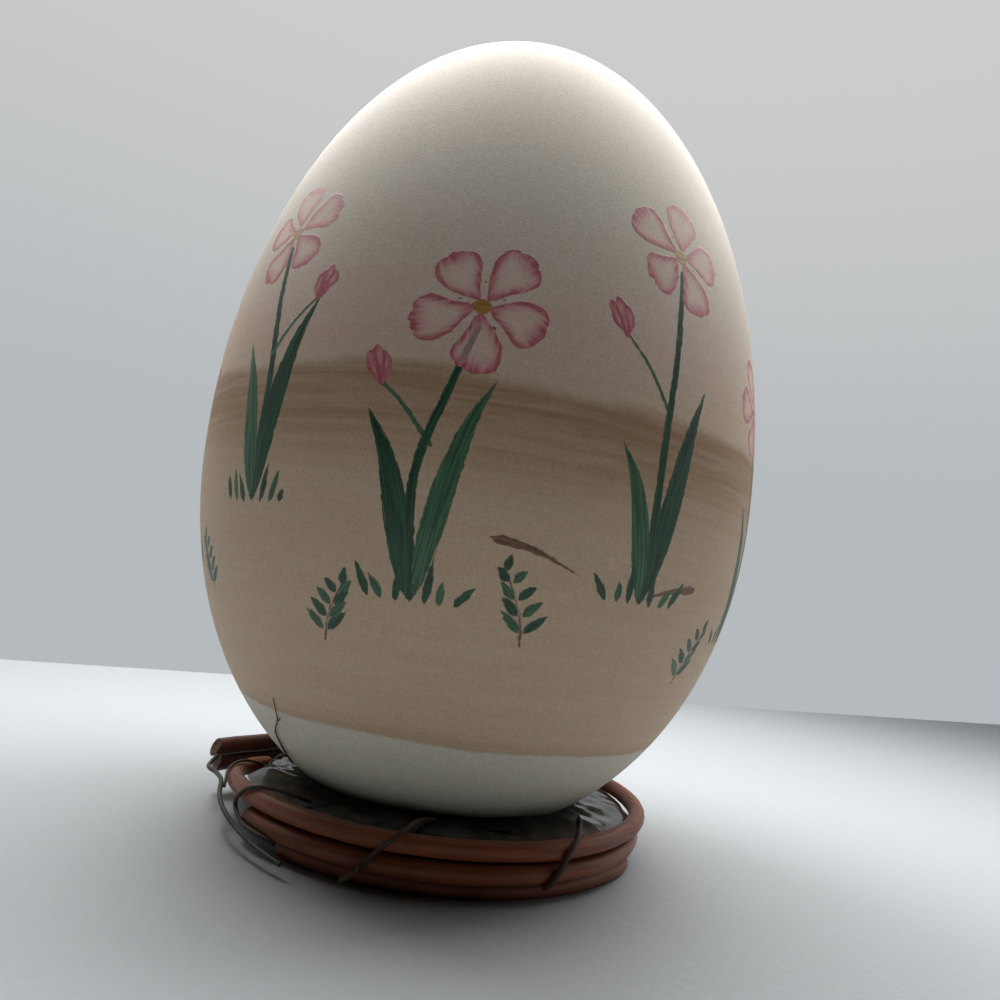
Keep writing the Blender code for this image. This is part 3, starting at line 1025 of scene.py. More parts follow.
@dataclass
class Patch:
    """A flat drawing place on the shell: across and up in mm from one point of it."""

    form: EggForm
    angle: float
    height: float

    def at(self, across: float, up: float) -> tuple[float, float]:
        """Returns the angle and height of a place in the patch."""
        slope = float(self.form.radius(self.height + 1) - self.form.radius(self.height - 1)) / 2
        height = self.height + up / math.hypot(1.0, slope)
        return self.angle + math.degrees(across / float(self.form.radius(height))), height

    def line(self, *points: tuple[float, float]) -> tuple[tuple[float, float], ...]:
        """Returns the angles and heights of several places."""
        return tuple(self.at(*point) for point in points)


@dataclass
class Blossom:
    """A five-petalled blossom seen from the front."""

    patch: Patch
    petal_length: float
    turn: float
    seed: float

    def ray(self, degrees: float, near: float, far: float, bend: float = 0.0) -> tuple[tuple[float, float], ...]:
        """Returns a line that leaves the blossom's middle.

        Args:
            degrees: Which way it goes.
            near: How far out it starts, in mm.
            far: How far out it ends.
            bend: How far it bends to its left.

        Returns:
            The line.
        """
        turn = math.radians(degrees)
        ahead, left = Vector((math.cos(turn), math.sin(turn))), Vector((-math.sin(turn), math.cos(turn)))
        points = [ahead * near, ahead * (near + far) / 2 + left * bend, ahead * far]
        return self.patch.line(*[(point.x, point.y) for point in points])

    def petals(self) -> list[BrushStroke]:
        """Returns the petals."""
        strokes = []
        for index, place in enumerate((0, 2, 4, 1, 3)):
            length = self.petal_length * (1.0 + 0.07 * math.sin(7 * self.seed + 2.3 * place))
            line = self.ray(self.turn + 72 * place, 1.6, length, 0.5)
            half = 0.46 * self.petal_length
            strokes.append(BrushStroke(line, half, StrokeShape.PETAL, Pigment.ROSE, self.seed + 0.13 * index, 10.0))
        return strokes

    def middle(self) -> list[BrushStroke]:
        """Returns the dabs and dots of the blossom's middle."""
        heart = self.patch.line((-1.5, 0.1), (0.0, -0.1), (1.5, 0.1))
        strokes = [BrushStroke(heart, 1.35, StrokeShape.DAB, Pigment.OCHRE, self.seed)]
        for index in range(5):
            degrees = self.turn + 36 + index * 72 + 9 * math.sin(2 * index + self.seed)
            out = 3.3 + 0.3 * math.sin(4 * index + 3 * self.seed)
            dot = self.ray(degrees, out, out + 0.75)
            strokes.append(BrushStroke(dot, 0.3, StrokeShape.DAB, Pigment.TWIG_BROWN, self.seed + 0.07 * index))
        return strokes


@dataclass
class Plant:
    """A flowering plant: its blossom, a stem, long leaves from its foot, a bud, and short blades at the ground."""

    form: EggForm
    angle: float
    foot: float
    bloom: float
    sway: float
    petal_length: float
    turn: float
    seed: float
    leaves: tuple[tuple[float, float, float], ...] = ((-9.0, 33.0, 2.0), (7.0, 25.0, 1.8))
    bud: float = 0.0

    def patch(self, up: float = 0.0, across: float = 0.0) -> Patch:
        """Returns a drawing place above the plant's foot."""
        base = Patch(self.form, self.angle, self.foot)
        return Patch(self.form, *base.at(across, up))

    def blossom(self) -> Blossom:
        """Returns the blossom at the top of the stem."""
        return Blossom(self.patch(self.bloom - self.foot, self.sway), self.petal_length, self.turn, self.seed)

    def stems(self) -> list[BrushStroke]:
        """Returns the stem, the long leaves, the bud's stalk and the short blades."""
        ground = self.patch()
        tall = self.bloom - self.foot
        strokes = []
        for index, (lean, length, half) in enumerate(self.leaves[:1]):
            strokes.append(self.leaf(lean, length, half, index))
        stem = ground.line((0.0, 0.0), (-0.25 * self.sway, tall * 0.4), (0.55 * self.sway, tall * 0.75), (self.sway, tall - 3.0))
        strokes.append(BrushStroke(stem, 0.95, StrokeShape.STEM, Pigment.DEEP_GREEN, self.seed + 0.31))
        if self.bud:
            side = ground.line((0.1 * self.sway, tall * 0.5), (0.5 * self.bud, tall * 0.62), (self.bud, tall * 0.70))
            strokes.append(BrushStroke(side, 0.5, StrokeShape.STEM, Pigment.LEAF_GREEN, self.seed + 0.47))
        for index, (lean, length, half) in enumerate(self.leaves[1:]):
            strokes.append(self.leaf(lean, length, half, index + 1))
        for index, start in enumerate((-6.3, -4.2, -2.1, 2.2, 4.3, 6.5)):
            lean = start + 0.35 * start + 1.3 * math.sin(9 * self.seed + 2 * index)
            length = 6.0 - 0.45 * abs(start) + 1.4 * math.sin(5 * self.seed + 2.1 * index)
            blade = ground.line((start, -1.2 + 0.08 * abs(start)), ((start + lean) / 2, length * 0.45), (lean, length))
            pigment = Pigment.LEAF_GREEN if index % 3 == 1 else Pigment.DEEP_GREEN
            strokes.append(BrushStroke(blade, 0.75, StrokeShape.LEAF, pigment, self.seed + 0.19 * index))
        return strokes

    def leaf(self, lean: float, length: float, half: float, index: int) -> BrushStroke:
        """Returns a long leaf from the foot.

        Args:
            lean: How far its tip is to the right, in mm.
            length: How high its tip is.
            half: Half its width.
            index: Its number, for its seed.

        Returns:
            The leaf.
        """
        line = self.patch().line((0.06 * lean, 0.0), (0.32 * lean, length * 0.42), (0.62 * lean, length * 0.76), (lean, length))
        pigment = Pigment.DEEP_GREEN if index % 2 == 0 else Pigment.LEAF_GREEN
        return BrushStroke(line, half, StrokeShape.LEAF, pigment, self.seed + 0.23 * index)

    def bud_petals(self) -> list[BrushStroke]:
        """Returns the bud's petals, if it has a bud."""
        if not self.bud:
            return []
        tip = self.patch((self.bloom - self.foot) * 0.70, self.bud)
        lean = 0.25 * self.bud
        strokes = []
        for index, side in enumerate((-1.0, 1.0, 0.0)):
            line = tip.line((0.0, -0.6), (side * 1.1 + 0.4 * lean, 2.2), (side * 1.0 + lean, 4.8 + (side == 0.0)))
            strokes.append(BrushStroke(line, 1.35, StrokeShape.PETAL, Pigment.ROSE, self.seed + 0.29 * index, 10.0))
        return strokes


@dataclass
class Sprig:
    """A low sprig with leaflets in pairs along a bent stalk."""

    patch: Patch
    length: float
    bend: float
    seed: float
    pairs: int = 4

    def strokes(self) -> list[BrushStroke]:
        """Returns the stalk and its leaflets."""
        def spine(share: float) -> tuple[float, float]:
            return self.bend * share**1.7, self.length * share

        stalk = self.patch.line(*[spine(share) for share in (0.0, 0.35, 0.7, 1.0)])
        made = [BrushStroke(stalk, 0.34, StrokeShape.STEM, Pigment.TWIG_BROWN, self.seed)]
        for index in range(self.pairs):
            x, y = spine((index + 0.8) / (self.pairs + 0.4))
            long = 4.6 - 0.55 * index
            for side in (-1.0, 1.0):
                line = self.patch.line((x + 0.3 * side, y), (x + side * long * 0.5, y + long * 0.46), (x + side * long * 0.82, y + long * 0.72))
                pigment = Pigment.DEEP_GREEN if (index + (side > 0)) % 2 else Pigment.LEAF_GREEN
                made.append(BrushStroke(line, 0.85, StrokeShape.LEAF, pigment, self.seed + 0.17 * index + 0.4 * side))
        x, y = spine(1.0)
        top = self.patch.line((x, y), (x + 0.2, y + 1.6), (x + 0.5, y + 3.0))
        made.append(BrushStroke(top, 0.8, StrokeShape.LEAF, Pigment.DEEP_GREEN, self.seed + 0.77))
        return made


@dataclass
class Egg:
    """The painted shell."""

    form: EggForm = field(default_factory=EggForm)
    columns: int = 460
    close_rows: float = 0.80
    wide_rows: float = 1.7
    painted_from: float = 28.0
    painted_to: float = 126.0
    unevenness: float = 0.10
    specks: tuple[tuple[float, float, float], ...] = (
        (-85.0, 38.0, 0.30), (-68.0, 34.5, 0.36), (-58.0, 36.9, 0.24), (-47.0, 37.7, 0.26), (-101.0, 31.0, 0.2),
        (-118.0, 36.0, 0.22), (-30.0, 52.0, 0.25), (24.0, 40.0, 0.3), (71.0, 66.0, 0.26), (118.0, 34.0, 0.32), (166.0, 47.0, 0.24),
    )

    def mesh(self) -> tuple[bpy.types.Mesh, np.ndarray]:
        """Builds the shell.

        Returns:
            Its mesh, and its points in mm.
        """
        heights = self.form.row_heights(self.close_rows, self.wide_rows, self.painted_from, self.painted_to)
        angles = np.arange(self.columns) * 360 / self.columns
        rows = [self.form.places(angles, np.full(self.columns, height)) for height in heights]
        foot = [[0.0, 0.0, self.form.girth_height - self.form.blunt_end]]
        crown = [[0.0, 0.0, self.form.girth_height + self.form.narrow_end]]
        places = np.concatenate([foot, *rows, crown])
        wave = np.sin(places @ (0.061, 0.043, 0.029) + 1.0) * np.sin(places @ (-0.037, 0.058, 0.051) + 2.2)
        shown = places - self.form.normals(places) * (self.unevenness * (0.5 + 0.5 * wave))[:, None]
        first = 1 + np.arange(len(heights))[:, None] * self.columns + np.arange(self.columns)
        after = np.roll(first, -1, axis=1)
        quads = np.stack([first[:-1], after[:-1], after[1:], first[1:]], axis=-1).reshape(-1, 4)
        below = [(0, int(after[0, column]), int(first[0, column])) for column in range(self.columns)]
        top = len(places) - 1
        above = [(top, int(first[-1, column]), int(after[-1, column])) for column in range(self.columns)]
        mesh = bpy.data.meshes.new("painted_egg")
        mesh.from_pydata(shown * MM, [], [*quads.tolist(), *below, *above])
        mesh.shade_smooth()
        return mesh, places

    def plants(self) -> list[Plant]:
        """Returns the plants round the shell."""
        form = self.form
        return [
            Plant(form, -129.0, 57.0, 103.0, -3.0, 9.6, 20.0, 0.11, ((8.5, 33.0, 2.1), (-7.0, 26.0, 1.9)), bud=7.5),
            Plant(form, -97.0, 45.0, 90.0, 5.0, 10.6, 52.0, 0.37, ((-10.0, 28.0, 2.0), (9.0, 34.0, 1.9)), bud=-8.0),
            Plant(form, -58.0, 49.0, 107.0, 2.0, 10.2, 5.0, 0.59, ((8.0, 36.0, 2.1), (-8.5, 24.0, 1.8)), bud=-9.0),
            Plant(form, -22.0, 44.0, 88.0, -3.0, 9.4, 33.0, 0.71, ((-8.0, 26.0, 1.9), (8.0, 32.0, 2.0)), bud=8.0),
            Plant(form, 16.0, 51.0, 105.0, 4.0, 10.4, 61.0, 0.83, ((9.0, 34.0, 2.1), (-8.0, 25.0, 1.8)), bud=-7.5),
            Plant(form, 53.0, 46.0, 92.0, -4.0, 9.8, 14.0, 0.27, ((-9.0, 30.0, 2.0), (8.0, 24.0, 1.9)), bud=8.0),
            Plant(form, 89.0, 50.0, 108.0, 3.0, 10.3, 44.0, 0.93, ((8.0, 36.0, 2.1), (-9.0, 27.0, 1.9)), bud=-8.5),
            Plant(form, 125.0, 45.0, 89.0, -3.0, 9.7, 68.0, 0.49, ((-8.0, 27.0, 1.9), (9.0, 33.0, 2.0)), bud=8.0),
            Plant(form, 162.0, 52.0, 106.0, 3.0, 10.1, 27.0, 0.19, ((8.5, 35.0, 2.1), (-8.0, 24.0, 1.8)), bud=-8.0),
            Plant(form, 197.0, 46.0, 90.0, -2.0, 9.5, 49.0, 0.65, ((-8.0, 29.0, 2.0), (7.0, 23.0, 1.8)), bud=7.5),
        ]

    def sprigs(self) -> list[Sprig]:
        """Returns the low sprigs between the plants."""
        places = (
            (-112.0, 37.0, 9.0, 3.0), (-78.0, 40.0, 11.0, -4.0), (-40.0, 36.0, 10.0, 4.0), (-4.0, 41.0, 10.0, -3.0),
            (34.0, 37.0, 11.0, 4.0), (71.0, 40.0, 9.0, -4.0), (108.0, 38.0, 10.0, 3.0), (144.0, 39.0, 11.0, -4.0),
            (180.0, 37.0, 10.0, 4.0), (214.0, 41.0, 9.0, -3.0),
        )
        return [
            Sprig(Patch(self.form, angle, height), length, bend, 0.07 + 0.13 * index)
            for index, (angle, height, length, bend) in enumerate(places)
        ]

    def twigs(self) -> list[BrushStroke]:
        """Returns the long brown strokes that lie along the ground."""
        starts = ((-86.0, 55.0, 15.0, -4.0), (-44.0, 52.0, -13.0, -3.0), (4.0, 56.0, 14.0, -4.0), (66.0, 54.0, -15.0, -3.0), (138.0, 55.0, 15.0, -4.0))
        made = []
        for index, (angle, height, across, up) in enumerate(starts):
            line = Patch(self.form, angle, height).line((0.0, 0.0), (across * 0.5, up * 0.3), (across, up))
            made.append(BrushStroke(line, 0.9, StrokeShape.TAIL, Pigment.TWIG_BROWN, 0.21 + 0.17 * index))
        return made

    def build(self, finish: ShellFinish) -> bpy.types.Object:
        """Builds and paints the shell.

        Args:
            finish: Its finish.

        Returns:
            The piece.
        """
        mesh, places = self.mesh()
        fields = [StrokeField(name, self.form, places) for name in ("stem", "petal", "detail")]
        stems, petals, details = fields
        for twig in self.twigs():
            stems.lay(twig)
        for plant in self.plants():
            for stroke in plant.stems():
                stems.lay(stroke)
            for stroke in [*plant.bud_petals(), *plant.blossom().petals()]:
                petals.lay(stroke)
            for stroke in plant.blossom().middle():
                details.lay(stroke)
        for sprig in self.sprigs():
            for stroke in sprig.strokes():
                stems.lay(stroke)
        for angle, height, half in self.specks:
            line = Patch(self.form, angle, height).line((0.0, 0.0), (0.25, 0.1), (0.5, 0.3))
            details.lay(BrushStroke(line, half, StrokeShape.DAB, Pigment.SPECK, 0.5))
        names = [each.store(mesh) for each in fields]
        log.info("layers of paint: %s", names)
        mesh.materials.append(finish.material(*names))
        return settle(new_object("painted_egg", mesh), ("egg",))


# The ring


@dataclass(frozen=True)
class RingFinishes:
    """The finishes of the ring's sticks, made once."""

    cane: bpy.types.Material
    dark_cane: bpy.types.Material
    tie: bpy.types.Material
    tendril: bpy.types.Material
    straw: bpy.types.Material
    cut: bpy.types.Material


def ring_finishes() -> RingFinishes:
    """Returns the materials of the ring."""
    return RingFinishes(
        cane=BarkFinish("orange cane bark", paint(152, 82, 48), paint(86, 38, 21), paint(176, 118, 84), 0.6, 0.25).material(),
        dark_cane=BarkFinish("dark cane bark", paint(102, 50, 36), paint(50, 23, 17), paint(134, 84, 66), 0.7, 0.25).material(),
        tie=BarkFinish("dry tie", paint(76, 52, 38), paint(36, 24, 18), paint(108, 84, 62), 0.6, 0.25, 0.00008, 0.1).material(),
        tendril=BarkFinish("grey tendril", paint(66, 66, 56), paint(34, 34, 29), paint(100, 96, 80), 0.6, 0.25, 0.00006, 0.1).material(),
        straw=BarkFinish("frayed straw", paint(122, 102, 72), paint(76, 60, 42), paint(160, 140, 108), 0.5, 0.4, 0.00004, 0.2).material(),
        cut=CutFinish().material(),
    )


@dataclass
class Ring:
    """The wound canes, in an outer row of two on short ones, a second row, and inner canes under the shell."""

    form: EggForm = field(default_factory=EggForm)
    cane_diameter: float = 3.22
    tie_diameter: float = 1.05
    tendril_diameter: float = 0.95
    pitch: float = 3.40
    row: float = 39.1
    base: float = 1.414
    middle: float = 4.234
    top: float = 7.634
    exit_angle: float = 147.2

    def outer_canes(self) -> list[Stick]:
        """Returns the canes of the outer row and the short ones under them."""
        row, top, middle, base = self.row, self.top, self.middle, self.base
        upper = Line(
            [
                (173, row - 3.1, top - 1.7), (178, row - 1.3, top - 1.6), (187, row + 0.1, top - 1.4), (205, row + 0.1, top - 0.5),
                (222, row, top), (270, row, top), (330, row + 0.3, top + 0.4), (360, row + 1.0, top + 0.7),
                (388, row + 1.0, top + 0.9), (430, row + 0.4, top + 0.2), (485, row, top),
            ],
            near=0.94, waver=0.05,
        )
        second = Line(
            [
                (220, row + 0.1, middle), (285, row + 0.1, middle), (330, row - 0.1, middle + 0.4),
                (365, row - 0.2, middle + 0.4), (400, row, middle), (463, row, middle),
            ],
            waver=0.05,
        )
        front = Line([(232, row - 2.0, base), (270, row - 1.9, base), (315, row - 1.7, base), (338.5, row - 0.9, base)], lean_far=(0.0, 0.0, 0.5))
        back = Line([(-8, row - 1.9, base), (40, row - 1.9, base), (88, row - 2.1, base)], lean_near=(0.0, 0.0, 0.4), lean_far=(0.0, 0.0, 0.3))
        size = self.cane_diameter
        return [
            Stick("top_cane", [upper], size, "cane", ("cane_top",), seed=1),
            Stick("middle_cane", [second], size, "cane", ("cane_middle",), seed=2),
            Stick("front_under_cane", [front], size, "cane", ("cane_under_front",), seed=3),
            Stick("back_under_cane", [back], size, "dark_cane", ("cane_under_back",), seed=4),
        ]

    def cut_line(self, row: float, height: float, rise: float, exit_radius: float, end_angle: float) -> Line:
        """Returns a cane that rises at the back and leaves the ring in a straight line.

        Args:
            row: Its distance from the axis.
            height: Its height in the ring.
            rise: How much higher its cut end is.
            exit_radius: The circle that its straight part touches.
            end_angle: Where it ends.

        Returns:
            The line.
        """
        last = height + rise
        outer = exit_radius - 0.7
        stations = [
            (-136.0, row, height), (0.0, row, height), (84.0, row, height + 0.1 * rise),
            (108.0, (row + outer) / 2, height + 0.36 * rise), (132.0, outer, height + 0.95 * rise),
        ]
        for angle in (self.exit_angle, 158.0, 168.0, end_angle):
            stations.append((angle, exit_radius / math.cos(math.radians(angle - self.exit_angle)), last))
        return Line(stations, lean_far=(0.2, -1.2, -0.9))

    def inner_canes(self) -> list[Stick]:
        """Returns the second row, the inner canes and the one that carries them."""
        second_row = self.row - 0.94 * self.pitch
        inner_row = self.row - 2 * self.pitch
        base_row = self.row - 2.5 * self.pitch
        seat = 5.6
        seat_row = float(self.form.radius(seat)) + 5.4
        size = self.cane_diameter
        upper = self.cut_line(second_row, 6.4, 2.95, 36.6, 182.8)
        lower = self.cut_line(second_row - 1.7, 3.1, 2.85, 37.3, 180.6)
        return [
            Stick("upper_cut_cane", [upper], size, "dark_cane", ("cane_cut_upper",), seed=5),
            Stick("lower_cut_cane", [lower], size, "dark_cane", ("cane_cut_lower",), seed=6),
            Stick("inner_cane", [Line([(-186, inner_row, 6.0), (0, inner_row, 6.0), (160, inner_row, 6.0)])], size, "dark_cane", ("cane_inner",), seed=7),
            Stick("seat_cane", [Line([(-128, seat_row, seat), (60, seat_row, seat), (222, seat_row, seat)])], size, "dark_cane", ("cane_seat",), seed=8),
            Stick("base_cane", [Line([(-100, base_row, self.base), (80, base_row, self.base), (250, base_row, self.base)])], size, "dark_cane", ("cane_base",), seed=9),
        ]

    def ties(self) -> list[Stick]:
        """Returns the ties, the left tendril, and the rootlet on the shell."""
        left = Line(
            [
                (-123.5, 35.2, 9.2), (-127.6, 36.4, 9.6), (-131.0, 37.2, 9.75), (-135.2, 38.4, 9.75), (-137.6, 39.85, 9.5),
                (-139.9, 40.72, 8.9), (-141.9, 41.15, 7.68), (-144.2, 41.0, 6.3), (-144.4, 40.9, 5.2), (-141.6, 41.1, 4.3),
                (-137.6, 41.2, 3.6), (-132.4, 41.15, 3.4), (-128.7, 41.0, 3.3), (-126.0, 40.2, 2.6),
            ],
            near=0.7, far=0.7, waver=0.03,
        )
        right = Line(
            [
                (-29.5, 30.8, 9.0), (-34.5, 32.4, 9.4), (-43.5, 35.9, 9.7), (-48.5, 38.3, 9.95), (-51.9, 40.24, 9.75),
                (-54.2, 41.1, 8.8), (-55.5, 41.3, 8.0), (-56.1, 41.2, 7.1), (-57.2, 41.05, 5.26), (-58.7, 41.2, 4.3),
                (-59.7, 41.0, 3.4), (-60.5, 40.2, 2.5),
            ],
            near=0.45, far=1.1, waver=0.03,
        )
        back = Line(
            [
                (68.0, 37.9, 10.4), (65.6, 39.7, 10.5), (63.5, 41.3, 9.4), (62.0, 41.8, 7.2), (60.8, 41.9, 5.1),
                (59.9, 41.5, 3.5), (59.0, 40.4, 2.4),
            ],
            near=0.85, far=0.8, waver=0.04,
        )
        free = Line(
            [
                (-88.0, 29.6, 9.0), (-90.2, 32.0, 9.5), (-92.4, 35.6, 9.95), (-94.1, 39.3, 9.75), (-95.7, 40.8, 8.85),
                (-97.5, 41.15, 7.6), (-99.2, 41.0, 6.3), (-100.4, 41.05, 5.25), (-101.7, 41.5, 4.1), (-102.3, 42.0, 3.6),
            ],
            near=0.8, far=0.75, waver=0.04,
        )
        tendril = Line(
            [
                (-173.0, 43.6, 8.6), (-171.7, 44.4, 7.6), (-169.8, 44.6, 7.0), (-164.6, 42.8, 7.0), (-158.3, 41.9, 6.9),
                (-150.0, 42.8, 6.0), (-143.5, 43.3, 5.1), (-135.0, 43.3, 3.7), (-128.0, 43.7, 3.0), (-118.0, 44.5, 2.2),
            ],
            near=0.9, far=0.8, waver=0.06,
        )
        curl = Line(
            [
                (-153.6, 41.6, 6.6), (-155.8, 41.25, 7.5), (-161.9, 40.7, 8.2), (-167.7, 39.6, 8.5), (-173.7, 38.2, 8.1),
                (-177.7, 36.7, 7.35), (-181.6, 35.6, 6.3),
            ],
            near=0.9, far=0.9, waver=0.04,
        )
        size = {"sides": 12, "step": 0.35, "ridge": 0.10, "swell": 0.16, "cut": False}
        return [
            Stick("left_tie", [left], self.tie_diameter, "tie", ("tie_left",), seed=11, **size),
            Stick("right_tie", [right], self.tie_diameter, "tie", ("tie_right",), seed=12, **size),
            Stick("back_tie", [back], self.tie_diameter, "tie", ("tie_back",), seed=13, **size),
            Stick("free_tie", [free], self.tie_diameter, "tie", ("tie_middle",), seed=14, **size),
            Stick("curl_tie", [curl], 0.62, "tie", seed=17, **size),
            Stick("left_tendril", [tendril], self.tendril_diameter, "tendril", ("tendril_left",), seed=15, **size),
            Stick("rootlet_on_shell", self.rootlet(), 0.30, "tendril", ("rootlet",), 0.25, 8, 0.02, 0.05, 16, False, "tie"),
        ]

    def rootlet(self) -> list[Line]:
        """Returns the rootlet with its two short spurs."""
        def on_shell(course: Sequence[tuple[float, float]], clear: float) -> list[Station]:
            return [(angle, float(self.form.radius(height)) + clear, height) for angle, height in course]

        main_course = ((-144.5, 12.2), (-142.6, 13.5), (-139.2, 16.1), (-136.6, 18.9), (-131.8, 21.5), (-130.3, 23.6), (-129.4, 25.5))
        return [
            Line(on_shell(main_course, 0.35), near=1.1, far=0.5),
            Line(on_shell(((-132.0, 21.4), (-130.9, 21.6), (-129.9, 22.1)), 0.4), near=0.8, far=0.4),
            Line(on_shell(((-141.4, 14.4), (-140.0, 14.6), (-138.9, 15.2)), 0.4), near=0.8, far=0.4),
        ]

    def fray(self) -> Stick:
        """Returns the loose fibres at the middle tie's free end."""
        chance = np.random.default_rng(5)
        lines = []
        for _ in range(13):
            spread, drop, out = chance.normal(0.0, 1.0, 3)
            start = (-101.9 + 0.18 * spread, 41.8 + 0.16 * out, 3.9 + 0.18 * drop)
            bend = (-103.2 + 0.25 * spread, 42.7 + 0.2 * out, 2.9 + 0.2 * drop)
            end = (-104.7 + 0.45 * spread, 43.7 + 0.3 * out, max(0.4, 1.9 + 0.3 * drop))
            lines.append(Line([start, bend, end], near=1.0, far=0.3, waver=0.05))
        return Stick("frayed_end", lines, 0.30, "tie", (), 0.3, 6, 0.02, 0.05, 21, False)

    def build(self) -> list[bpy.types.Object]:
        """Builds every stick of the ring."""
        tree = stick_tree()
        finishes = ring_finishes()
        barks = {"cane": finishes.cane, "dark_cane": finishes.dark_cane, "tie": finishes.tie, "tendril": finishes.tendril}
        sticks = [*self.outer_canes(), *self.inner_canes(), *self.ties()]
        made = [stick.build(tree, barks[stick.bark or stick.slot], finishes.cut) for stick in sticks]
        made.append(self.fray().build(tree, finishes.straw, finishes.cut))
        return made


@dataclass
class GluePool:
    """The glue between the shell and the canes, with a crest along the shell and a lump at the left."""

    form: EggForm = field(default_factory=EggForm)
    steps: int = 360
    rings: int = 16
    front_edge: float = 37.5
    back_edge: float = 33.9
    underside: float = 7.9
    level: float = 8.75
    crest: float = 9.45
    lump_angle: float = -152.0

    def height(self, angle: np.ndarray, share: np.ndarray, inner: np.ndarray, outer: np.ndarray) -> np.ndarray:
        """Returns the height of the glue's top.

        Args:
            angle: The angles in degrees.
            share: How far out, from 0 at the shell to 1 at the outer edge.
            inner: The inner edge's distance from the axis.
            outer: The outer edge's distance.

        Returns:
            The heights.
        """
        turn = np.radians(angle)
        away = share * (outer - inner)
        ripple = 0.16 * np.sin(7 * turn + 3 * share) + 0.13 * np.sin(17 * turn - 5 * share + 1) + 0.07 * np.sin(41 * turn + 9 * share)
        crest = self.crest + 0.22 * np.sin(5 * turn + 0.7) + 0.14 * np.sin(13 * turn + 2.0)
        climbing = (crest - self.level) * np.exp(-away / 0.75)
        off = (angle - self.lump_angle + 180) % 360 - 180
        lump = 1.0 * np.exp(-((off / 8.5) ** 2) - ((share - 0.62) / 0.30) ** 2)
        edge = -0.75 * share**6
        return self.level + climbing + lump + edge + ripple * np.sin(math.pi * share.clip(0, 1)) ** 0.7

    def build(self, finish: GlueFinish) -> bpy.types.Object:
        """Builds the pool.

        Args:
            finish: Its finish.

        Returns:
            The piece.
        """
        angle = np.arange(self.steps) * 360 / self.steps
        turn = np.radians(angle)
        from_back = np.abs((angle - 140 + 180) % 360 - 180)
        share = ((from_back - 48) / 17).clip(0, 1)
        outer = self.back_edge + (self.front_edge - self.back_edge) * share**2 * (3 - 2 * share)
        outer = outer + 0.10 * np.sin(9 * turn) + 0.06 * np.sin(23 * turn + 1)
        crest = self.crest + 0.22 * np.sin(5 * turn + 0.7) + 0.14 * np.sin(13 * turn + 2.0)
        inner = self.form.radius(crest) - 0.12
        sections = [np.stack([angle, self.form.radius(np.full(self.steps, self.underside)) - 0.1, np.full(self.steps, self.underside)], axis=1)]
        for step in range(self.rings + 1):
            part = np.full(self.steps, step / self.rings)
            heights = self.height(angle, part, inner, outer)
            sections.append(np.stack([angle, inner + (outer - inner) * part, heights], axis=1))
        sections.append(np.stack([angle, outer - 0.15, np.full(self.steps, self.underside)], axis=1))
        points = np.concatenate([around(section) for section in sections]) * MM
        count = len(sections)
        faces = []
        for ring in range(count):
            lower, upper = ring * self.steps, (ring + 1) % count * self.steps
            for step in range(self.steps):
                after = (step + 1) % self.steps
                faces.append((lower + step, lower + after, upper + after, upper + step))
        mesh = bpy.data.meshes.new("glue")
        mesh.from_pydata(points, [], faces)
        shape = bmesh.new()
        shape.from_mesh(mesh)
        bmesh.ops.recalc_face_normals(shape, faces=shape.faces)
        shape.to_mesh(mesh)
        shape.free()
        mesh.shade_smooth()
        mesh.set_sharp_from_angle(angle=math.radians(50))
        mesh.materials.append(finish.material())
        return settle(new_object("glue", mesh), ("glue_pool",))


# The setting


@dataclass(frozen=True)
class SoftLight:
    """A square soft light that points at one place."""

    name: str
    place: tuple[float, float, float]
    aim: tuple[float, float, float]
    size: float
    power: float
    colour: Colour = (1.0, 1.0, 1.0)

    def build(self) -> None:
        """Puts the light in the scene."""
        lamp = bpy.data.lights.new(self.name, "AREA")
        lamp.size = self.size
        lamp.energy = self.power
        lamp.color = self.colour
        made = bpy.data.objects.new(self.name, lamp)
        made.location = self.place
        made.rotation_euler = (Vector(self.aim) - Vector(self.place)).to_track_quat("-Z", "Y").to_euler()
        made.visible_camera = False
        bpy.context.scene.collection.objects.link(made)


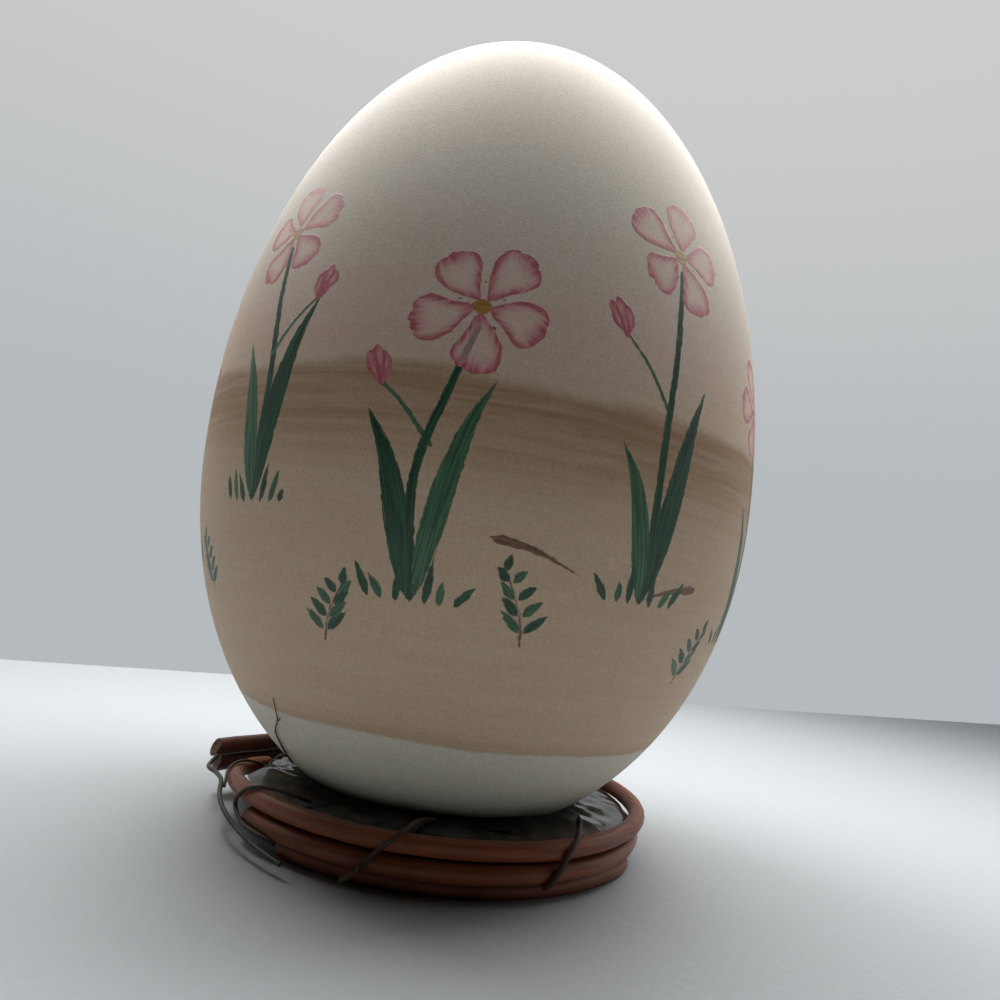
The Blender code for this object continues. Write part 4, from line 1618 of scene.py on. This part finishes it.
@dataclass
class Setting:
    """The pale floor, the soft light and the camera."""

    camera_place: tuple[float, float, float] = (0.00475, -0.1641, 0.0472)
    camera_pitch: float = 6.80
    camera_roll: float = 7.80
    lens: float = 28.08
    floor_edge: tuple[tuple[float, float], tuple[float, float]] = ((-0.1068, 0.1559), (0.2137, 0.3361))
    floor: Colour = paint(176, 180, 183)
    backdrop_low: Colour = paint(181, 186, 190)
    backdrop_high: Colour = paint(203, 204, 203)

    def build(self) -> None:
        """Builds the setting."""
        self.build_floor()
        self.build_world()
        self.build_camera()
        middle = (0.0, 0.0, 0.08)
        for light in (
            SoftLight("right light", (0.14, 0.10, 0.36), middle, 0.24, 1.08),
            SoftLight("left light", (-0.14, 0.10, 0.36), middle, 0.24, 1.23),
            SoftLight("top light", (0.0, 0.04, 0.40), middle, 0.30, 0.59),
            SoftLight("near light", (0.0, 0.0, 0.28), middle, 0.16, 0.13),
            SoftLight("side light", (0.30, 0.0, 0.10), middle, 0.20, 0.04),
        ):
            light.build()

    def build_floor(self) -> None:
        """Builds the floor, a pale sheet that ends in a straight line behind the egg."""
        first, last = (Vector(point) for point in self.floor_edge)
        along = (last - first).normalized()
        reach = 4.0
        left, right = first - along * reach, last + along * reach
        corners = [(left.x, left.y, 0.0), (left.x, -reach, 0.0), (right.x, -reach, 0.0), (right.x, right.y, 0.0)]
        mesh = bpy.data.meshes.new("floor")
        mesh.from_pydata(corners, [], [(0, 1, 2, 3)])
        material, wires, shader = start_material("pale floor")
        place = wires.vector("SCALE", wires.add("ShaderNodeTexCoord").outputs["Object"], 1000.0)
        weave = wires.noise(place, 0.55, 3.0, 0.6)
        wires.put(shader.inputs["Base Color"], wires.blend(wires.ease(weave, 0.3, 0.7, 0.0, 0.06), self.floor, (0.3, 0.3, 0.3)))
        shader.inputs["Roughness"].default_value = 0.9
        bump = wires.add("ShaderNodeBump", {"Height": weave, "Strength": 0.3, "Distance": 0.0006})
        wires.put(shader.inputs["Normal"], bump.outputs[0])
        mesh.materials.append(material)
        new_object("floor", mesh)

    def build_world(self) -> None:
        """Lights the scene from all round, least from the camera's side."""
        world = bpy.data.worlds.new("soft room")
        world.use_nodes = True
        wires = Wiring(world.node_tree)
        _, away, up = wires.split(wires.add("ShaderNodeTexCoord").outputs["Generated"])
        seen = wires.add("ShaderNodeLightPath").outputs["Is Camera Ray"]
        behind = wires.ease(away, -0.1, 0.35)
        background = world.node_tree.nodes["Background"]
        colour = wires.blend(wires.ease(up, 0.12, 0.62), self.backdrop_low, self.backdrop_high)
        wires.put(background.inputs["Color"], colour)
        wires.put(background.inputs["Strength"], wires.number("MAXIMUM", seen, behind))
        bpy.context.scene.world = world

    def build_camera(self) -> None:
        """Puts the camera where the photograph was taken from."""
        lens = bpy.data.cameras.new("camera")
        lens.lens = self.lens
        lens.sensor_width = 36.0
        lens.clip_start = 0.01
        camera = bpy.data.objects.new("camera", lens)
        pitch = Matrix.Rotation(math.radians(90 + self.camera_pitch), 4, "X")
        roll = Matrix.Rotation(math.radians(self.camera_roll), 4, "Z")
        camera.matrix_world = Matrix.Translation(self.camera_place) @ pitch @ roll
        bpy.context.scene.collection.objects.link(camera)
        bpy.context.scene.camera = camera


def main() -> None:
    """Builds the pieces in order."""
    logging.basicConfig(level=logging.INFO, format="%(message)s")
    bpy.context.scene.view_settings.view_transform = "Standard"
    Egg().build(ShellFinish())
    Ring().build()
    GluePool().build(GlueFinish())
    Setting().build()


if __name__ == "__main__":
    main()
